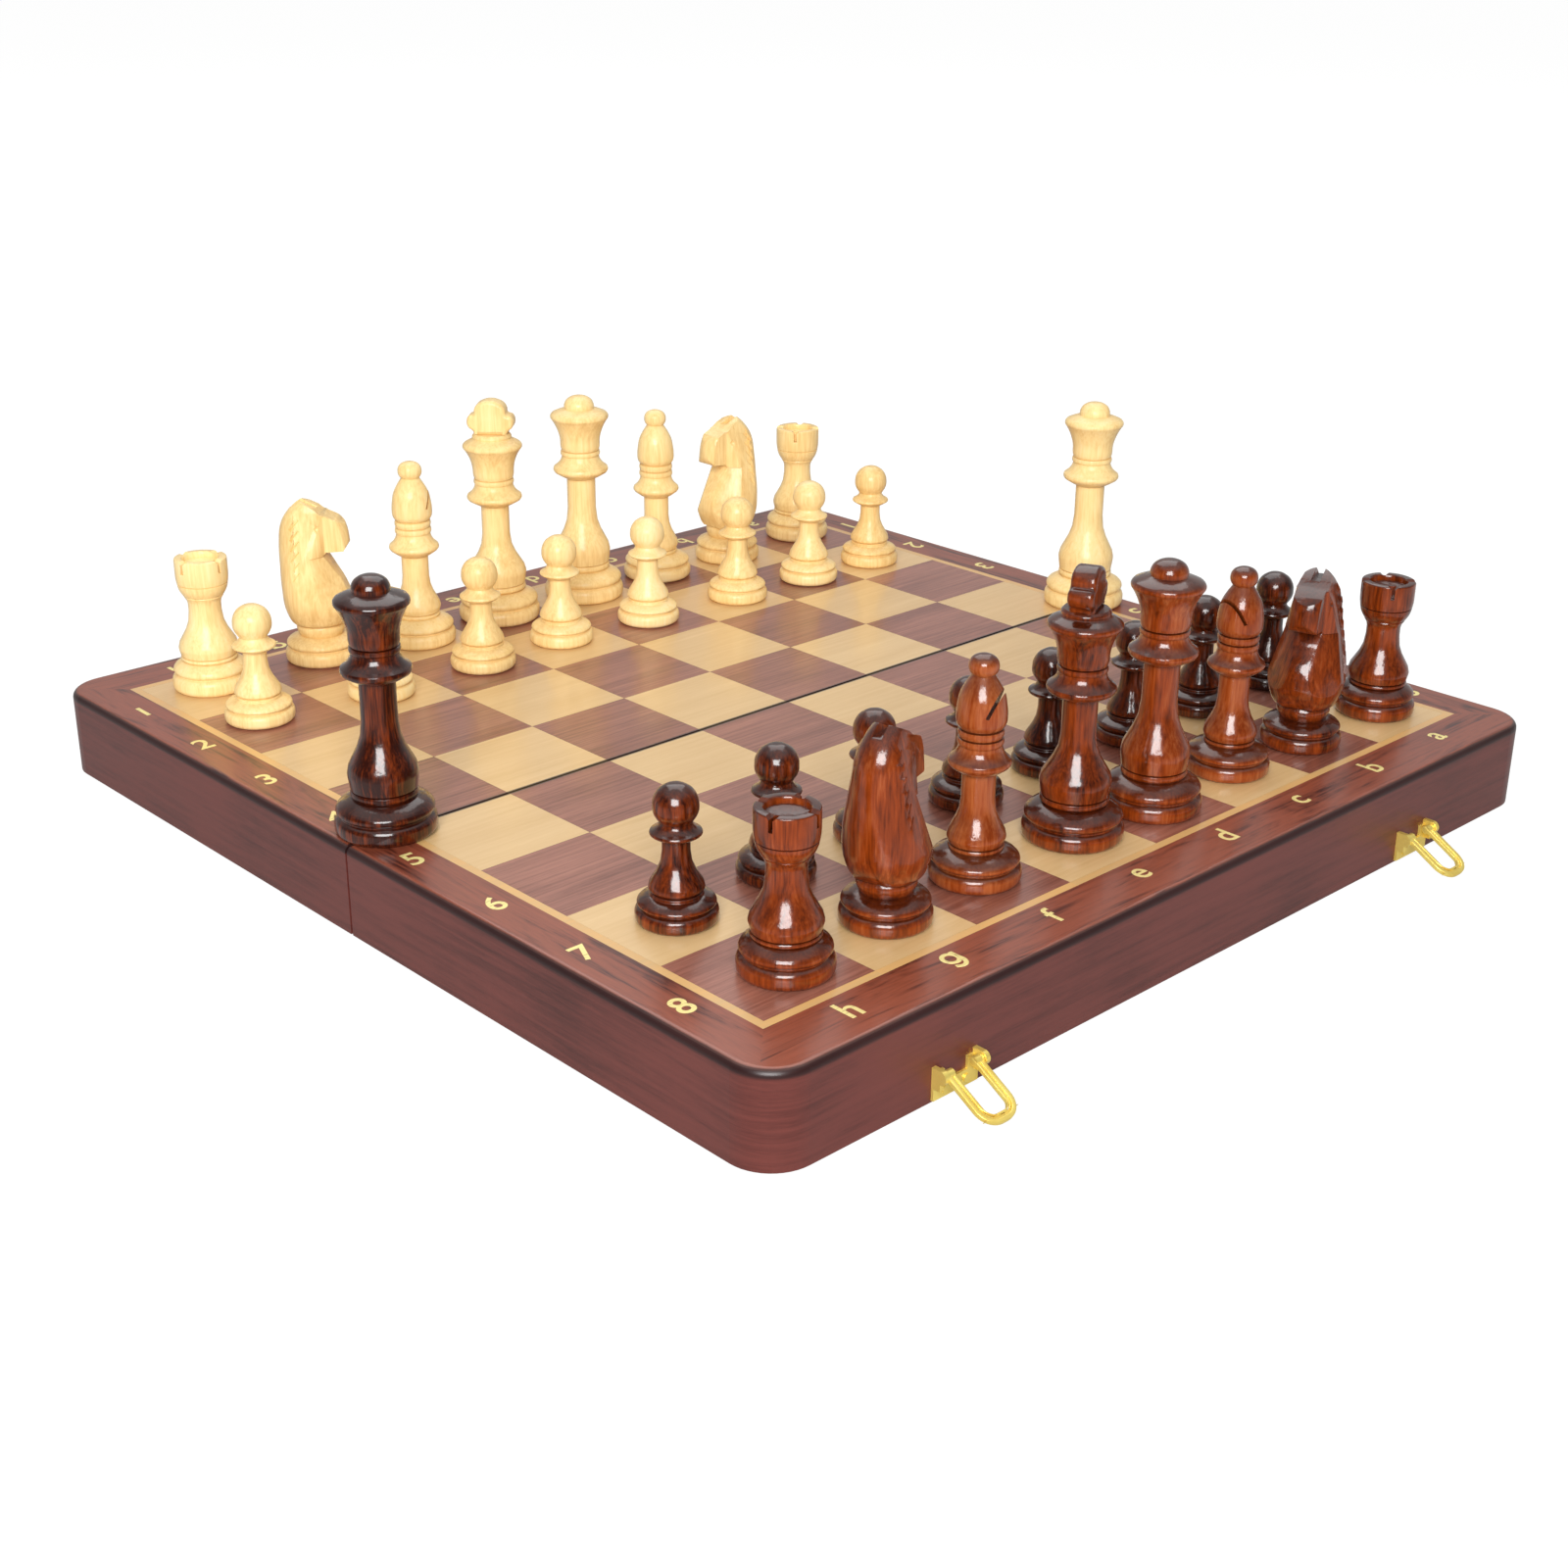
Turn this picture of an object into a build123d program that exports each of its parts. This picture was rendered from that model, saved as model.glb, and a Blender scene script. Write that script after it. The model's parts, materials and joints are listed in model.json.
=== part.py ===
"""Folding wooden chess set: a two-half box board, its brass fittings and 34 turned and carved pieces.

The frame has its origin on the table under the middle of the fold line, +Z up, +X along the fold
from the h file to the a file, and +Y towards the white end.  All sizes are in millimetres.
"""
import os
from math import asin, degrees
from build123d import *

os.makedirs("parts", exist_ok=True)

# Playing field and box
SQUARE = 42.5
FILES = 8
RANKS = 4
SIDE_BORDER = 21.0
END_BORDER = 24.5
FOLD_GAP = 1.0
WALL = 10.0
PANEL_T = 6.0
VENEER_T = 0.6
VENEER_JOINT = 0.05
INLAY_W = 3.0
CORNER_R = 15.0
EDGE_R = 2.5
HALF_T = 31.0

# Fold hinges
HINGE_X = 105.0
HINGE_L = 32.0
KNUCKLE_R = 1.5
PIN_R = 0.7
RUNNING_FIT = 0.05
KNUCKLE_GAP = 0.3
KNUCKLE_ROOM = 0.4
LEAF_W = 8.5
LEAF_T = 1.0
LEAF_SINK = 0.1
SEAT_FIT = 0.05
RIM_RISE = 0.1

# Brass nails
NAIL_R = 0.6
NAIL_HEAD_R = 1.3
NAIL_HEAD_T = 0.5
NAIL_L = 7.0
NAIL_FIT = 0.02
HINGE_NAIL_X = 10.0
HINGE_NAIL_Y = 5.5

# Latches on the black end and their keepers on the white end
LATCH_X = 117.0
LATCH_SHIFT = -3.2
LATCH_W = 18.4
LATCH_H = 9.0
LATCH_T = 0.9
LATCH_RISE = 0.6
EAR_T = 1.6
EAR_R = 2.2
PIVOT_RISE = 9.0
PIVOT_OUT = 3.2
PIVOT_R = 0.8
LATCH_NOTCH = 4.0
LATCH_NAIL_X = 4.4
LATCH_NAIL_RISE = 2.4
BAIL_L = 19.4
BAIL_ARM_W = 2.6
BAIL_T = 1.6
BAIL_BAR_R = 1.3
BAIL_SIDE_GAP = 0.2
BAIL_TIP_Z = 0.9
KEEPER_W = 14.0
KEEPER_H = 9.0
TONGUE_W = 8.0
TONGUE_T = 2.0
TONGUE_OUT = 1.6
CATCH_GAP = 0.5
KEEPER_NAIL_X = 4.6
KEEPER_NAIL_DROP = 1.9

# Every turned piece
GROOVE = 0.5
BOTTOM_EASE = 1.2
COLLAR_LIP = 0.9
COLLAR_EDGE = 2.0
COLLAR_DROP = 4.4
SHOULDER_ROUND = 0.72
BELL_HOLD = 0.25
STEM_HOLD = 0.55

# Derived positions
AXIS_Z = KNUCKLE_R
RIM_Z = AXIS_Z + RIM_RISE
TOP_Z = RIM_Z + HALF_T
PANEL_Z = TOP_Z - PANEL_T
VENEER_Z = TOP_Z - VENEER_T
FIELD_W = FILES * SQUARE
FIELD_D = RANKS * SQUARE
BOARD_W = FIELD_W + 2 * SIDE_BORDER
HALF_D = FIELD_D + END_BORDER
FOLD_Y = FOLD_GAP / 2
END_Y = FOLD_Y + HALF_D
PIVOT_Z = RIM_Z + PIVOT_RISE
LATCH_XS = (LATCH_SHIFT - LATCH_X, LATCH_SHIFT + LATCH_X)
BAIL_W = LATCH_W - 2 * (EAR_T + BAIL_SIDE_GAP)
BAIL_DROOP = degrees(asin((PIVOT_Z - BAIL_TIP_Z) / BAIL_L))
CATCH_Z = BAIL_L - BAIL_ARM_W - CATCH_GAP - (PIVOT_Z - 2 * AXIS_Z)


def save(shape, name):
    """Label one finished piece and write it."""
    shape.label = name
    export_step(shape, f"parts/{name}.step")


def half_outline(side):
    """Draw the plan of one half, square at the fold and rounded at its two outer corners."""
    with Locations((0, side * (FOLD_Y + HALF_D / 2))):
        Rectangle(BOARD_W, HALF_D)
    outer = vertices().sort_by(Axis.Y)
    fillet(outer[-2:] if side > 0 else outer[:2], CORNER_R)


def fold_seat(side, x):
    """Cut the leaf's mortise, its nail holes and the room for the knuckles at one hinge."""
    leaf_y = side * (FOLD_Y + LEAF_W / 2)
    seat_t = LEAF_T + LEAF_SINK
    with Locations((x, leaf_y, RIM_Z + seat_t / 2)):
        Box(HINGE_L + 2 * SEAT_FIT, LEAF_W + 2 * SEAT_FIT, seat_t, mode=Mode.SUBTRACT)
    with Locations(Location((x, 0, AXIS_Z), (0, 90, 0))):
        Cylinder(KNUCKLE_R + KNUCKLE_ROOM, HINGE_L + 2 * KNUCKLE_GAP, mode=Mode.SUBTRACT)
    with Locations((x, side * (FOLD_Y + HINGE_NAIL_Y), RIM_Z + seat_t)):
        with GridLocations(2 * HINGE_NAIL_X, 1, 2, 1):
            Cylinder(NAIL_R + NAIL_FIT, 2 * NAIL_L, mode=Mode.SUBTRACT)


def wall_holes(side, xs, z):
    """Drill nail holes into the outer face of an end rail."""
    for x in xs:
        with Locations(Location((x, side * END_Y, z), (90, 0, 0))):
            Cylinder(NAIL_R + NAIL_FIT, 2 * NAIL_L, mode=Mode.SUBTRACT)


def nail(x, y, z, turn):
    """One round-headed nail, its head's outer face at the given point and its shank along local +Z."""
    with Locations(Location((x, y, z), turn)):
        Cylinder(NAIL_HEAD_R, NAIL_HEAD_T, align=(Align.CENTER, Align.CENTER, Align.MIN))
        Cylinder(NAIL_R, NAIL_L, align=(Align.CENTER, Align.CENTER, Align.MIN))


LATCH_NAILS = [x + t * LATCH_NAIL_X for x in LATCH_XS for t in (-1, 1)]
LATCH_NAIL_Z = RIM_Z + LATCH_RISE + LATCH_NAIL_RISE
KEEPER_NAILS = [x + t * KEEPER_NAIL_X for x in LATCH_XS for t in (-1, 1)]
KEEPER_NAIL_Z = CATCH_Z - TONGUE_T - KEEPER_NAIL_DROP


def board_half(name, side):
    """One half of the box: panel, veneers, inlay, squares and the rails under them."""
    with BuildPart() as panel:
        with BuildSketch(Plane.XY.offset(PANEL_Z)):
            half_outline(side)
        extrude(amount=PANEL_T)
        rim = panel.edges().filter_by_position(Axis.Z, TOP_Z - 0.01, TOP_Z + 0.01)
        outer = rim.sort_by(Axis.Y)[1:] if side > 0 else rim.sort_by(Axis.Y)[:-1]
        fillet(outer, EDGE_R)
    slab = panel.part
    with BuildPart() as core:
        add(slab)
        split(bisect_by=Plane.XY.offset(VENEER_Z), keep=Keep.BOTTOM)
    save(core.part, f"{name}_half_panel")

    field_y = side * (FOLD_Y + FIELD_D / 2)
    inlay_y = side * (FOLD_Y + (FIELD_D + INLAY_W) / 2)
    with BuildPart() as border:
        add(slab)
        split(bisect_by=Plane.XY.offset(VENEER_Z), keep=Keep.TOP)
        with Locations((0, inlay_y, VENEER_Z)):
            Box(FIELD_W + 2 * INLAY_W, FIELD_D + INLAY_W, 4 * VENEER_T, mode=Mode.SUBTRACT)
    save(border.part, f"{name}_half_border_veneer")

    with BuildPart() as inlay:
        with BuildSketch(Plane.XY.offset(VENEER_Z)):
            with Locations((0, inlay_y)):
                Rectangle(FIELD_W + 2 * INLAY_W, FIELD_D + INLAY_W)
            with Locations((0, field_y)):
                Rectangle(FIELD_W, FIELD_D, mode=Mode.SUBTRACT)
        extrude(amount=VENEER_T)
    save(inlay.part, f"{name}_half_inlay_line")

    for shade, odd in (("dark", 0), ("light", 1)):
        spots = []
        for file in range(FILES):
            for rank in range(RANKS):
                if (file + rank + (side < 0)) % 2 == odd:
                    x = (file + 0.5) * SQUARE - FIELD_W / 2
                    spots.append((x, side * (FOLD_Y + (rank + 0.5) * SQUARE), VENEER_Z + VENEER_T / 2))
        with BuildPart() as squares:
            with Locations(*spots):
                Box(SQUARE - VENEER_JOINT, SQUARE - VENEER_JOINT, VENEER_T)
        save(squares.part, f"{name}_half_{shade}_squares")

    inner_x = BOARD_W / 2 - WALL
    inner_y = END_Y - WALL
    with BuildPart() as end_rail:
        with BuildSketch(Plane.XY.offset(RIM_Z)):
            half_outline(side)
            with BuildLine():
                Polyline(
                    (-BOARD_W / 2, side * END_Y),
                    (BOARD_W / 2, side * END_Y),
                    (inner_x, side * inner_y),
                    (-inner_x, side * inner_y),
                    close=True,
                )
            make_face(mode=Mode.INTERSECT)
        extrude(amount=PANEL_Z - RIM_Z)
        if side > 0:
            wall_holes(side, KEEPER_NAILS, KEEPER_NAIL_Z)
        else:
            wall_holes(side, LATCH_NAILS, LATCH_NAIL_Z)
    save(end_rail.part, f"{name}_half_end_rail")

    with BuildPart() as side_rails:
        for hand in (-1, 1):
            with BuildSketch(Plane.XY.offset(RIM_Z)) as plan:
                half_outline(side)
                with BuildLine():
                    Polyline(
                        (hand * BOARD_W / 2, side * FOLD_Y),
                        (hand * BOARD_W / 2, side * END_Y),
                        (hand * inner_x, side * inner_y),
                        (hand * inner_x, side * FOLD_Y),
                        close=True,
                    )
                make_face(mode=Mode.INTERSECT)
            extrude(plan.sketch, amount=PANEL_Z - RIM_Z)
    save(side_rails.part, f"{name}_half_side_rails")

    with BuildPart() as fold_rail:
        with BuildSketch(Plane.XY.offset(RIM_Z)):
            with Locations((0, side * (FOLD_Y + WALL / 2))):
                Rectangle(2 * inner_x, WALL)
        extrude(amount=PANEL_Z - RIM_Z)
        for hand in (-1, 1):
            fold_seat(side, hand * HINGE_X)
    save(fold_rail.part, f"{name}_half_fold_rail")


board_half("white", 1)
board_half("black", -1)

# Fold hinges: the white leaves carry the two outer knuckles, the black leaves the middle one
KNUCKLE_L = (HINGE_L - 2 * KNUCKLE_GAP) / 3
KNUCKLE_STEP = KNUCKLE_L + KNUCKLE_GAP


def leaves(side, knuckles):
    """Both hinge leaves of one half with their knuckles on the fold axis."""
    leaf_z = RIM_Z + LEAF_SINK
    with BuildPart() as leaf:
        for hand in (-1, 1):
            x = hand * HINGE_X
            with Locations((x, side * (FOLD_Y + LEAF_W) / 2, leaf_z + LEAF_T / 2)):
                Box(HINGE_L, FOLD_Y + LEAF_W, LEAF_T)
            for k in (-1, 0, 1):
                if k in knuckles:
                    continue
                room = 2 * (KNUCKLE_R + KNUCKLE_ROOM)
                with Locations((x + k * KNUCKLE_STEP, 0, AXIS_Z)):
                    Box(KNUCKLE_L + 2 * KNUCKLE_GAP, room, 8 * KNUCKLE_R, mode=Mode.SUBTRACT)
            for k in knuckles:
                with Locations(Location((x + k * KNUCKLE_STEP, 0, AXIS_Z), (0, 90, 0))):
                    Cylinder(KNUCKLE_R, KNUCKLE_L)
                    Cylinder(PIN_R + RUNNING_FIT, 2 * KNUCKLE_L, mode=Mode.SUBTRACT)
            with Locations((x, side * (FOLD_Y + HINGE_NAIL_Y), leaf_z)):
                with GridLocations(2 * HINGE_NAIL_X, 1, 2, 1):
                    Cylinder(NAIL_R + NAIL_FIT, 4 * LEAF_T, mode=Mode.SUBTRACT)
                    Cylinder(NAIL_HEAD_R + NAIL_FIT, 2 * NAIL_HEAD_T, mode=Mode.SUBTRACT)
    return leaf


white_leaves = leaves(1, (-1, 1))
save(white_leaves.part, "white_hinge_leaves")
black_leaves = leaves(-1, (0,))
save(black_leaves.part, "black_hinge_leaves")

with BuildPart() as hinge_pins:
    for hand in (-1, 1):
        with Locations(Location((hand * HINGE_X, 0, AXIS_Z), (0, 90, 0))):
            Cylinder(PIN_R, HINGE_L)
save(hinge_pins.part, "hinge_pins")

# Latch plates, each with an ear at either end for the bail to turn in
with BuildPart() as latch_plates:
    for x in LATCH_XS:
        with Locations((x, -END_Y - LATCH_T / 2, RIM_Z + LATCH_RISE + LATCH_H / 2)):
            Box(LATCH_W, LATCH_T, LATCH_H)
        with Locations((x, -END_Y - LATCH_T / 2, RIM_Z + LATCH_RISE + LATCH_H - LATCH_NOTCH / 2)):
            Box(BAIL_W - 2 * BAIL_ARM_W, LATCH_T, LATCH_NOTCH, mode=Mode.SUBTRACT)
        for end in (-1, 1):
            ear_x = x + end * (LATCH_W - EAR_T) / 2
            with BuildSketch(Plane.YZ.offset(ear_x - EAR_T / 2)) as ear:
                with Locations((-END_Y - PIVOT_OUT, PIVOT_Z)):
                    Circle(EAR_R)
                with Locations((-END_Y - PIVOT_OUT / 2, PIVOT_Z - EAR_R / 2)):
                    Rectangle(PIVOT_OUT, 3 * EAR_R)
                with Locations((-END_Y - PIVOT_OUT, PIVOT_Z)):
                    Circle(PIVOT_R + RUNNING_FIT, mode=Mode.SUBTRACT)
            extrude(ear.sketch, amount=EAR_T)
    for x in LATCH_NAILS:
        with Locations(Location((x, -END_Y, LATCH_NAIL_Z), (90, 0, 0))):
            Cylinder(NAIL_R + NAIL_FIT, 4 * LATCH_T, mode=Mode.SUBTRACT)
save(latch_plates.part, "latch_plates")

# Bails: a flat loop on a rolled bar, drooping outwards with its pivot stubs in the ears
BAIL_PLANE = Plane(
    origin=(0, -END_Y - PIVOT_OUT, PIVOT_Z),
    x_dir=(1, 0, 0),
    z_dir=Vector(0, 0, 1).rotate(Axis.X, BAIL_DROOP),
)
for x, bail_name in zip(LATCH_XS, ("left", "right")):
    with BuildPart() as bail:
        with BuildSketch(BAIL_PLANE.offset(-BAIL_T / 2)):
            with Locations((x, -BAIL_L / 2)):
                Rectangle(BAIL_W, BAIL_L)
            tip = vertices().sort_by(Axis.Y)[:2]
            fillet(tip, BAIL_W / 2 - BAIL_ARM_W / 2)
            with Locations((x, -(BAIL_L - BAIL_ARM_W) / 2)):
                Rectangle(BAIL_W - 2 * BAIL_ARM_W, BAIL_L - BAIL_ARM_W, mode=Mode.SUBTRACT)
        extrude(amount=BAIL_T)
        with Locations(Location((x, -END_Y - PIVOT_OUT, PIVOT_Z), (0, 90, 0))):
            Cylinder(BAIL_BAR_R, BAIL_W)
            Cylinder(PIVOT_R, LATCH_W)
    save(bail.part, f"latch_bail_{bail_name}")

# Keepers: a plate with a tongue that the bail's far end drops over when the box is shut
with BuildPart() as keepers:
    for x in LATCH_XS:
        with Locations((x, END_Y + LATCH_T / 2, RIM_Z + LATCH_RISE + KEEPER_H / 2)):
            Box(KEEPER_W, LATCH_T, KEEPER_H)
        reach = PIVOT_OUT + TONGUE_OUT
        with Locations((x, END_Y + reach / 2, CATCH_Z - TONGUE_T / 2)):
            Box(TONGUE_W, reach, TONGUE_T)
    for x in KEEPER_NAILS:
        with Locations(Location((x, END_Y, KEEPER_NAIL_Z), (90, 0, 0))):
            Cylinder(NAIL_R + NAIL_FIT, 4 * LATCH_T, mode=Mode.SUBTRACT)
save(keepers.part, "latch_keepers")

HINGE_NAILS = [s * HINGE_X + t * HINGE_NAIL_X for s in (-1, 1) for t in (-1, 1)]
for half_name, side in (("white", 1), ("black", -1)):
    with BuildPart() as nails:
        for x in HINGE_NAILS:
            nail(x, side * (FOLD_Y + HINGE_NAIL_Y), RIM_Z + LEAF_SINK, (0, 0, 0))
        wall_xs = KEEPER_NAILS if side > 0 else LATCH_NAILS
        wall_z = KEEPER_NAIL_Z if side > 0 else LATCH_NAIL_Z
        for x in wall_xs:
            nail(x, side * (END_Y + LATCH_T + NAIL_HEAD_T), wall_z, (90 * side, 0, 0))
    save(nails.part, f"{half_name}_half_nails")


def foot_edge(base_d, ring_h, shoulder_h, waist_d, waist_h, bell_d, bell_h, stem_d, stem_h):
    """Draw a turned piece's outer edge from the axis at its bottom up to the top of its stem."""
    base_r = base_d / 2
    groove_r = base_r - GROOVE
    waist_r = waist_d / 2
    bell_r = bell_d / 2
    stem_r = stem_d / 2
    rise = shoulder_h - ring_h
    Line((0, 0), (base_r - BOTTOM_EASE, 0))
    ThreePointArc((base_r - BOTTOM_EASE, 0), (base_r, ring_h / 2), (groove_r, ring_h))
    round_x = waist_r + SHOULDER_ROUND * (groove_r - waist_r)
    ThreePointArc((groove_r, ring_h), (round_x, ring_h + SHOULDER_ROUND * rise), (waist_r, shoulder_h))
    Line((waist_r, shoulder_h), (waist_r, shoulder_h + waist_h))
    Line((waist_r, shoulder_h + waist_h), (bell_r, bell_h))
    span = stem_h - bell_h
    low_hold = (bell_r, bell_h + BELL_HOLD * span)
    high_hold = (stem_r, stem_h - STEM_HOLD * span)
    Bezier((bell_r, bell_h), low_hold, high_hold, (stem_r, stem_h))
    return stem_r, stem_h


def collar_edge(start, collar_d, collar_h, neck_d, neck_h):
    """Draw a collar out from the stem, round its lip and in again to the neck above it."""
    lip = (collar_d / 2, collar_h)
    under = (collar_d / 2 - COLLAR_LIP, collar_h - COLLAR_EDGE)
    over = (collar_d / 2 - COLLAR_LIP, collar_h + COLLAR_EDGE)
    stem_top = (start[0], collar_h - COLLAR_DROP)
    Line(start, stem_top)
    Line(stem_top, under)
    ThreePointArc(under, lip, over)
    Line(over, (neck_d / 2, neck_h))
    return neck_d / 2, neck_h


def close_edge(start):
    """Close a profile down its axis."""
    if start[0] > 0:
        Line(start, (0, start[1]))
    Line((0, start[1]), (0, 0))


def cap_edge(rim, height):
    """Draw a round cap, or a dish, from its rim to the axis and close the profile."""
    TangentArc((0, height), rim, tangent=(1, 0))
    close_edge((0, height))


# Pawn: a ball on a collar
PAWN_H = 43.4
PAWN_NECK_D = 9.6
PAWN_NECK_H = 31.6
with BuildPart() as pawn:
    with BuildSketch(Plane.XZ):
        with BuildLine():
            stem = foot_edge(25.0, 5.4, 9.2, 16.4, 0.8, 16.8, 11.2, 8.0, 23.0)
            neck = collar_edge(stem, 15.6, 28.7, PAWN_NECK_D, PAWN_NECK_H)
            cap_edge(neck, PAWN_H)
        make_face()
    revolve(axis=Axis.Z)

# Rook: a dished tower with a rounded underside and four slots
ROOK_NECK_H = 33.6
ROOK_CUP_D = 14.6
ROOK_CUP_H = 36.2
ROOK_TOWER_D = 19.0
ROOK_TOWER_H = 43.6
ROOK_H = 50.4
ROOK_WALL = 2.8
ROOK_DISH = 3.4
ROOK_SLOT_W = 1.5
ROOK_SLOT_H = 5.6
ROOK_SLOT_V = 2.4
with BuildPart() as rook:
    with BuildSketch(Plane.XZ):
        with BuildLine():
            stem = foot_edge(28.4, 6.4, 12.4, 19.6, 0.8, 21.6, 16.4, 11.9, 30.0)
            tower_r = ROOK_TOWER_D / 2
            lip_r = tower_r - ROOK_WALL
            neck = (stem[0], ROOK_NECK_H)
            cup = (ROOK_CUP_D / 2, ROOK_CUP_H)
            Line(stem, neck)
            Line(neck, cup)
            TangentArc((tower_r, ROOK_TOWER_H), cup, tangent=(0, -1))
            Line((tower_r, ROOK_TOWER_H), (tower_r, ROOK_H))
            Line((tower_r, ROOK_H), (lip_r, ROOK_H))
            cap_edge((lip_r, ROOK_H), ROOK_H - ROOK_DISH)
        make_face()
    revolve(axis=Axis.Z)
    with Locations((0, 0, ROOK_H)):
        with PolarLocations(ROOK_TOWER_D / 2, 4):
            Box(2 * ROOK_WALL, ROOK_SLOT_W, 2 * ROOK_SLOT_H, mode=Mode.SUBTRACT)
            Box(2 * ROOK_WALL, ROOK_SLOT_V, ROOK_SLOT_V, rotation=(45, 0, 0), mode=Mode.SUBTRACT)

# Bishop: a mitre with a slanting slot and a ball on top
BISHOP_NECK_H = 44.2
BISHOP_NECK_D = 13.2
BISHOP_RING_D = 14.2
BISHOP_RING_H = 49.2
BISHOP_MITRE_D = 15.4
BISHOP_MITRE_H = 54.4
BISHOP_TOP_D = 7.6
BISHOP_TOP_H = 66.2
BISHOP_BALL_D = 8.4
BISHOP_BALL_H = 69.0
BISHOP_H = 72.6
BISHOP_SLOT_W = 1.3
BISHOP_SLOT_DEG = 22.0
BISHOP_SLOT_R = 6.0
BISHOP_SLOT_H = 61.7
with BuildPart() as bishop:
    with BuildSketch(Plane.XZ):
        with BuildLine():
            stem = foot_edge(28.8, 5.8, 11.6, 17.0, 0.8, 18.2, 14.8, 10.4, 27.0)
            neck = collar_edge(stem, 19.3, 39.1, BISHOP_NECK_D, BISHOP_NECK_H)
            ring_side = (BISHOP_RING_D / 2, (BISHOP_NECK_H + BISHOP_RING_H) / 2)
            ThreePointArc(neck, ring_side, (BISHOP_NECK_D / 2, BISHOP_RING_H))
            mitre_top = (BISHOP_TOP_D / 2, BISHOP_TOP_H)
            mitre_side = (BISHOP_MITRE_D / 2, BISHOP_MITRE_H)
            ThreePointArc((BISHOP_NECK_D / 2, BISHOP_RING_H), mitre_side, mitre_top)
            ball_side = (BISHOP_BALL_D / 2, BISHOP_BALL_H)
            TangentArc(ball_side, mitre_top, tangent=(0, -1))
            cap_edge(ball_side, BISHOP_H)
        make_face()
    revolve(axis=Axis.Z)
    with Locations(Location((BISHOP_SLOT_R, 0, BISHOP_SLOT_H), (0, BISHOP_SLOT_DEG, 0))):
        Box(BISHOP_SLOT_W, BISHOP_MITRE_D, BISHOP_MITRE_D, mode=Mode.SUBTRACT)

# Queen: a flared crown with a domed button
QUEEN_NECK_D = 15.4
QUEEN_NECK_H = 60.3
QUEEN_RING_D = 16.4
QUEEN_RING_H = 64.8
QUEEN_RIM_D = 23.4
QUEEN_RIM_H = 77.0
QUEEN_RIM_T = 3.4
QUEEN_BUTTON_D = 12.4
QUEEN_BUTTON_H = 81.4
QUEEN_H = 85.0
with BuildPart() as queen:
    with BuildSketch(Plane.XZ):
        with BuildLine():
            stem = foot_edge(32.8, 6.4, 13.4, 20.8, 1.6, 22.6, 20.6, 11.7, 38.0)
            neck = collar_edge(stem, 22.5, 54.9, QUEEN_NECK_D, QUEEN_NECK_H)
            ring_side = (QUEEN_RING_D / 2, (QUEEN_NECK_H + QUEEN_RING_H) / 2)
            ThreePointArc(neck, ring_side, (0.5 * (QUEEN_RING_D - 0.6), QUEEN_RING_H))
            rim_r = QUEEN_RIM_D / 2
            rim_low = (rim_r - 0.8, QUEEN_RIM_H - QUEEN_RIM_T / 2)
            rim_high = (rim_r - 1.2, QUEEN_RIM_H + QUEEN_RIM_T / 2)
            crown = 0.55 * (rim_low[1] - QUEEN_RING_H)
            flare_hold = (0.5 * (QUEEN_RING_D - 0.6), QUEEN_RING_H + crown)
            Bezier((0.5 * (QUEEN_RING_D - 0.6), QUEEN_RING_H), flare_hold, rim_low)
            ThreePointArc(rim_low, (rim_r, QUEEN_RIM_H), rim_high)
            Line(rim_high, (QUEEN_BUTTON_D / 2, QUEEN_BUTTON_H))
            cap_edge((QUEEN_BUTTON_D / 2, QUEEN_BUTTON_H), QUEEN_H)
        make_face()
    revolve(axis=Axis.Z)

# King: a wider crown with a low dome that carries a carved cross
KING_NECK_D = 15.4
KING_NECK_H = 56.0
KING_RING_D = 16.4
KING_RING_H = 61.0
KING_RIM_D = 23.6
KING_RIM_H = 71.8
KING_RIM_T = 3.4
KING_SEAT_D = 15.0
KING_SEAT_H = 76.6
KING_H = 90.0
CROSS_W = 18.6
CROSS_T = 8.4
CROSS_FOOT_W = 14.2
CROSS_ARM_H = 8.4
CROSS_ARM_RISE = 5.2
CROSS_TOP_W = 13.0
with BuildPart() as king_body:
    with BuildSketch(Plane.XZ):
        with BuildLine():
            stem = foot_edge(32.8, 6.4, 13.4, 20.4, 1.6, 23.0, 20.0, 11.1, 35.6)
            neck = collar_edge(stem, 21.9, 51.0, KING_NECK_D, KING_NECK_H)
            ring_side = (KING_RING_D / 2, (KING_NECK_H + KING_RING_H) / 2)
            ThreePointArc(neck, ring_side, (0.5 * (KING_RING_D - 0.6), KING_RING_H))
            rim_r = KING_RIM_D / 2
            rim_low = (rim_r - 0.8, KING_RIM_H - KING_RIM_T / 2)
            rim_high = (rim_r - 1.2, KING_RIM_H + KING_RIM_T / 2)
            flare_hold = (0.5 * (KING_RING_D - 0.6), KING_RING_H + 0.55 * (rim_low[1] - KING_RING_H))
            Bezier((0.5 * (KING_RING_D - 0.6), KING_RING_H), flare_hold, rim_low)
            ThreePointArc(rim_low, (rim_r, KING_RIM_H), rim_high)
            Line(rim_high, (KING_SEAT_D / 2, KING_SEAT_H))
            close_edge((KING_SEAT_D / 2, KING_SEAT_H))
        make_face()
    revolve(axis=Axis.Z)
with BuildPart() as king_cross:
    with BuildSketch(Plane.XZ.offset(-CROSS_T / 2)):
        with Locations((0, (KING_SEAT_H + KING_H) / 2 - CROSS_TOP_W / 4)):
            Trapezoid(CROSS_FOOT_W, KING_H - KING_SEAT_H - CROSS_TOP_W / 2, 84)
        with Locations((0, KING_SEAT_H + CROSS_ARM_RISE)):
            SlotOverall(CROSS_W, CROSS_ARM_H)
        with Locations((0, KING_H - CROSS_TOP_W / 2)):
            Circle(CROSS_TOP_W / 2)
    extrude(amount=CROSS_T)
king = Compound([king_body.part.solid(), king_cross.part.solid()])

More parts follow.
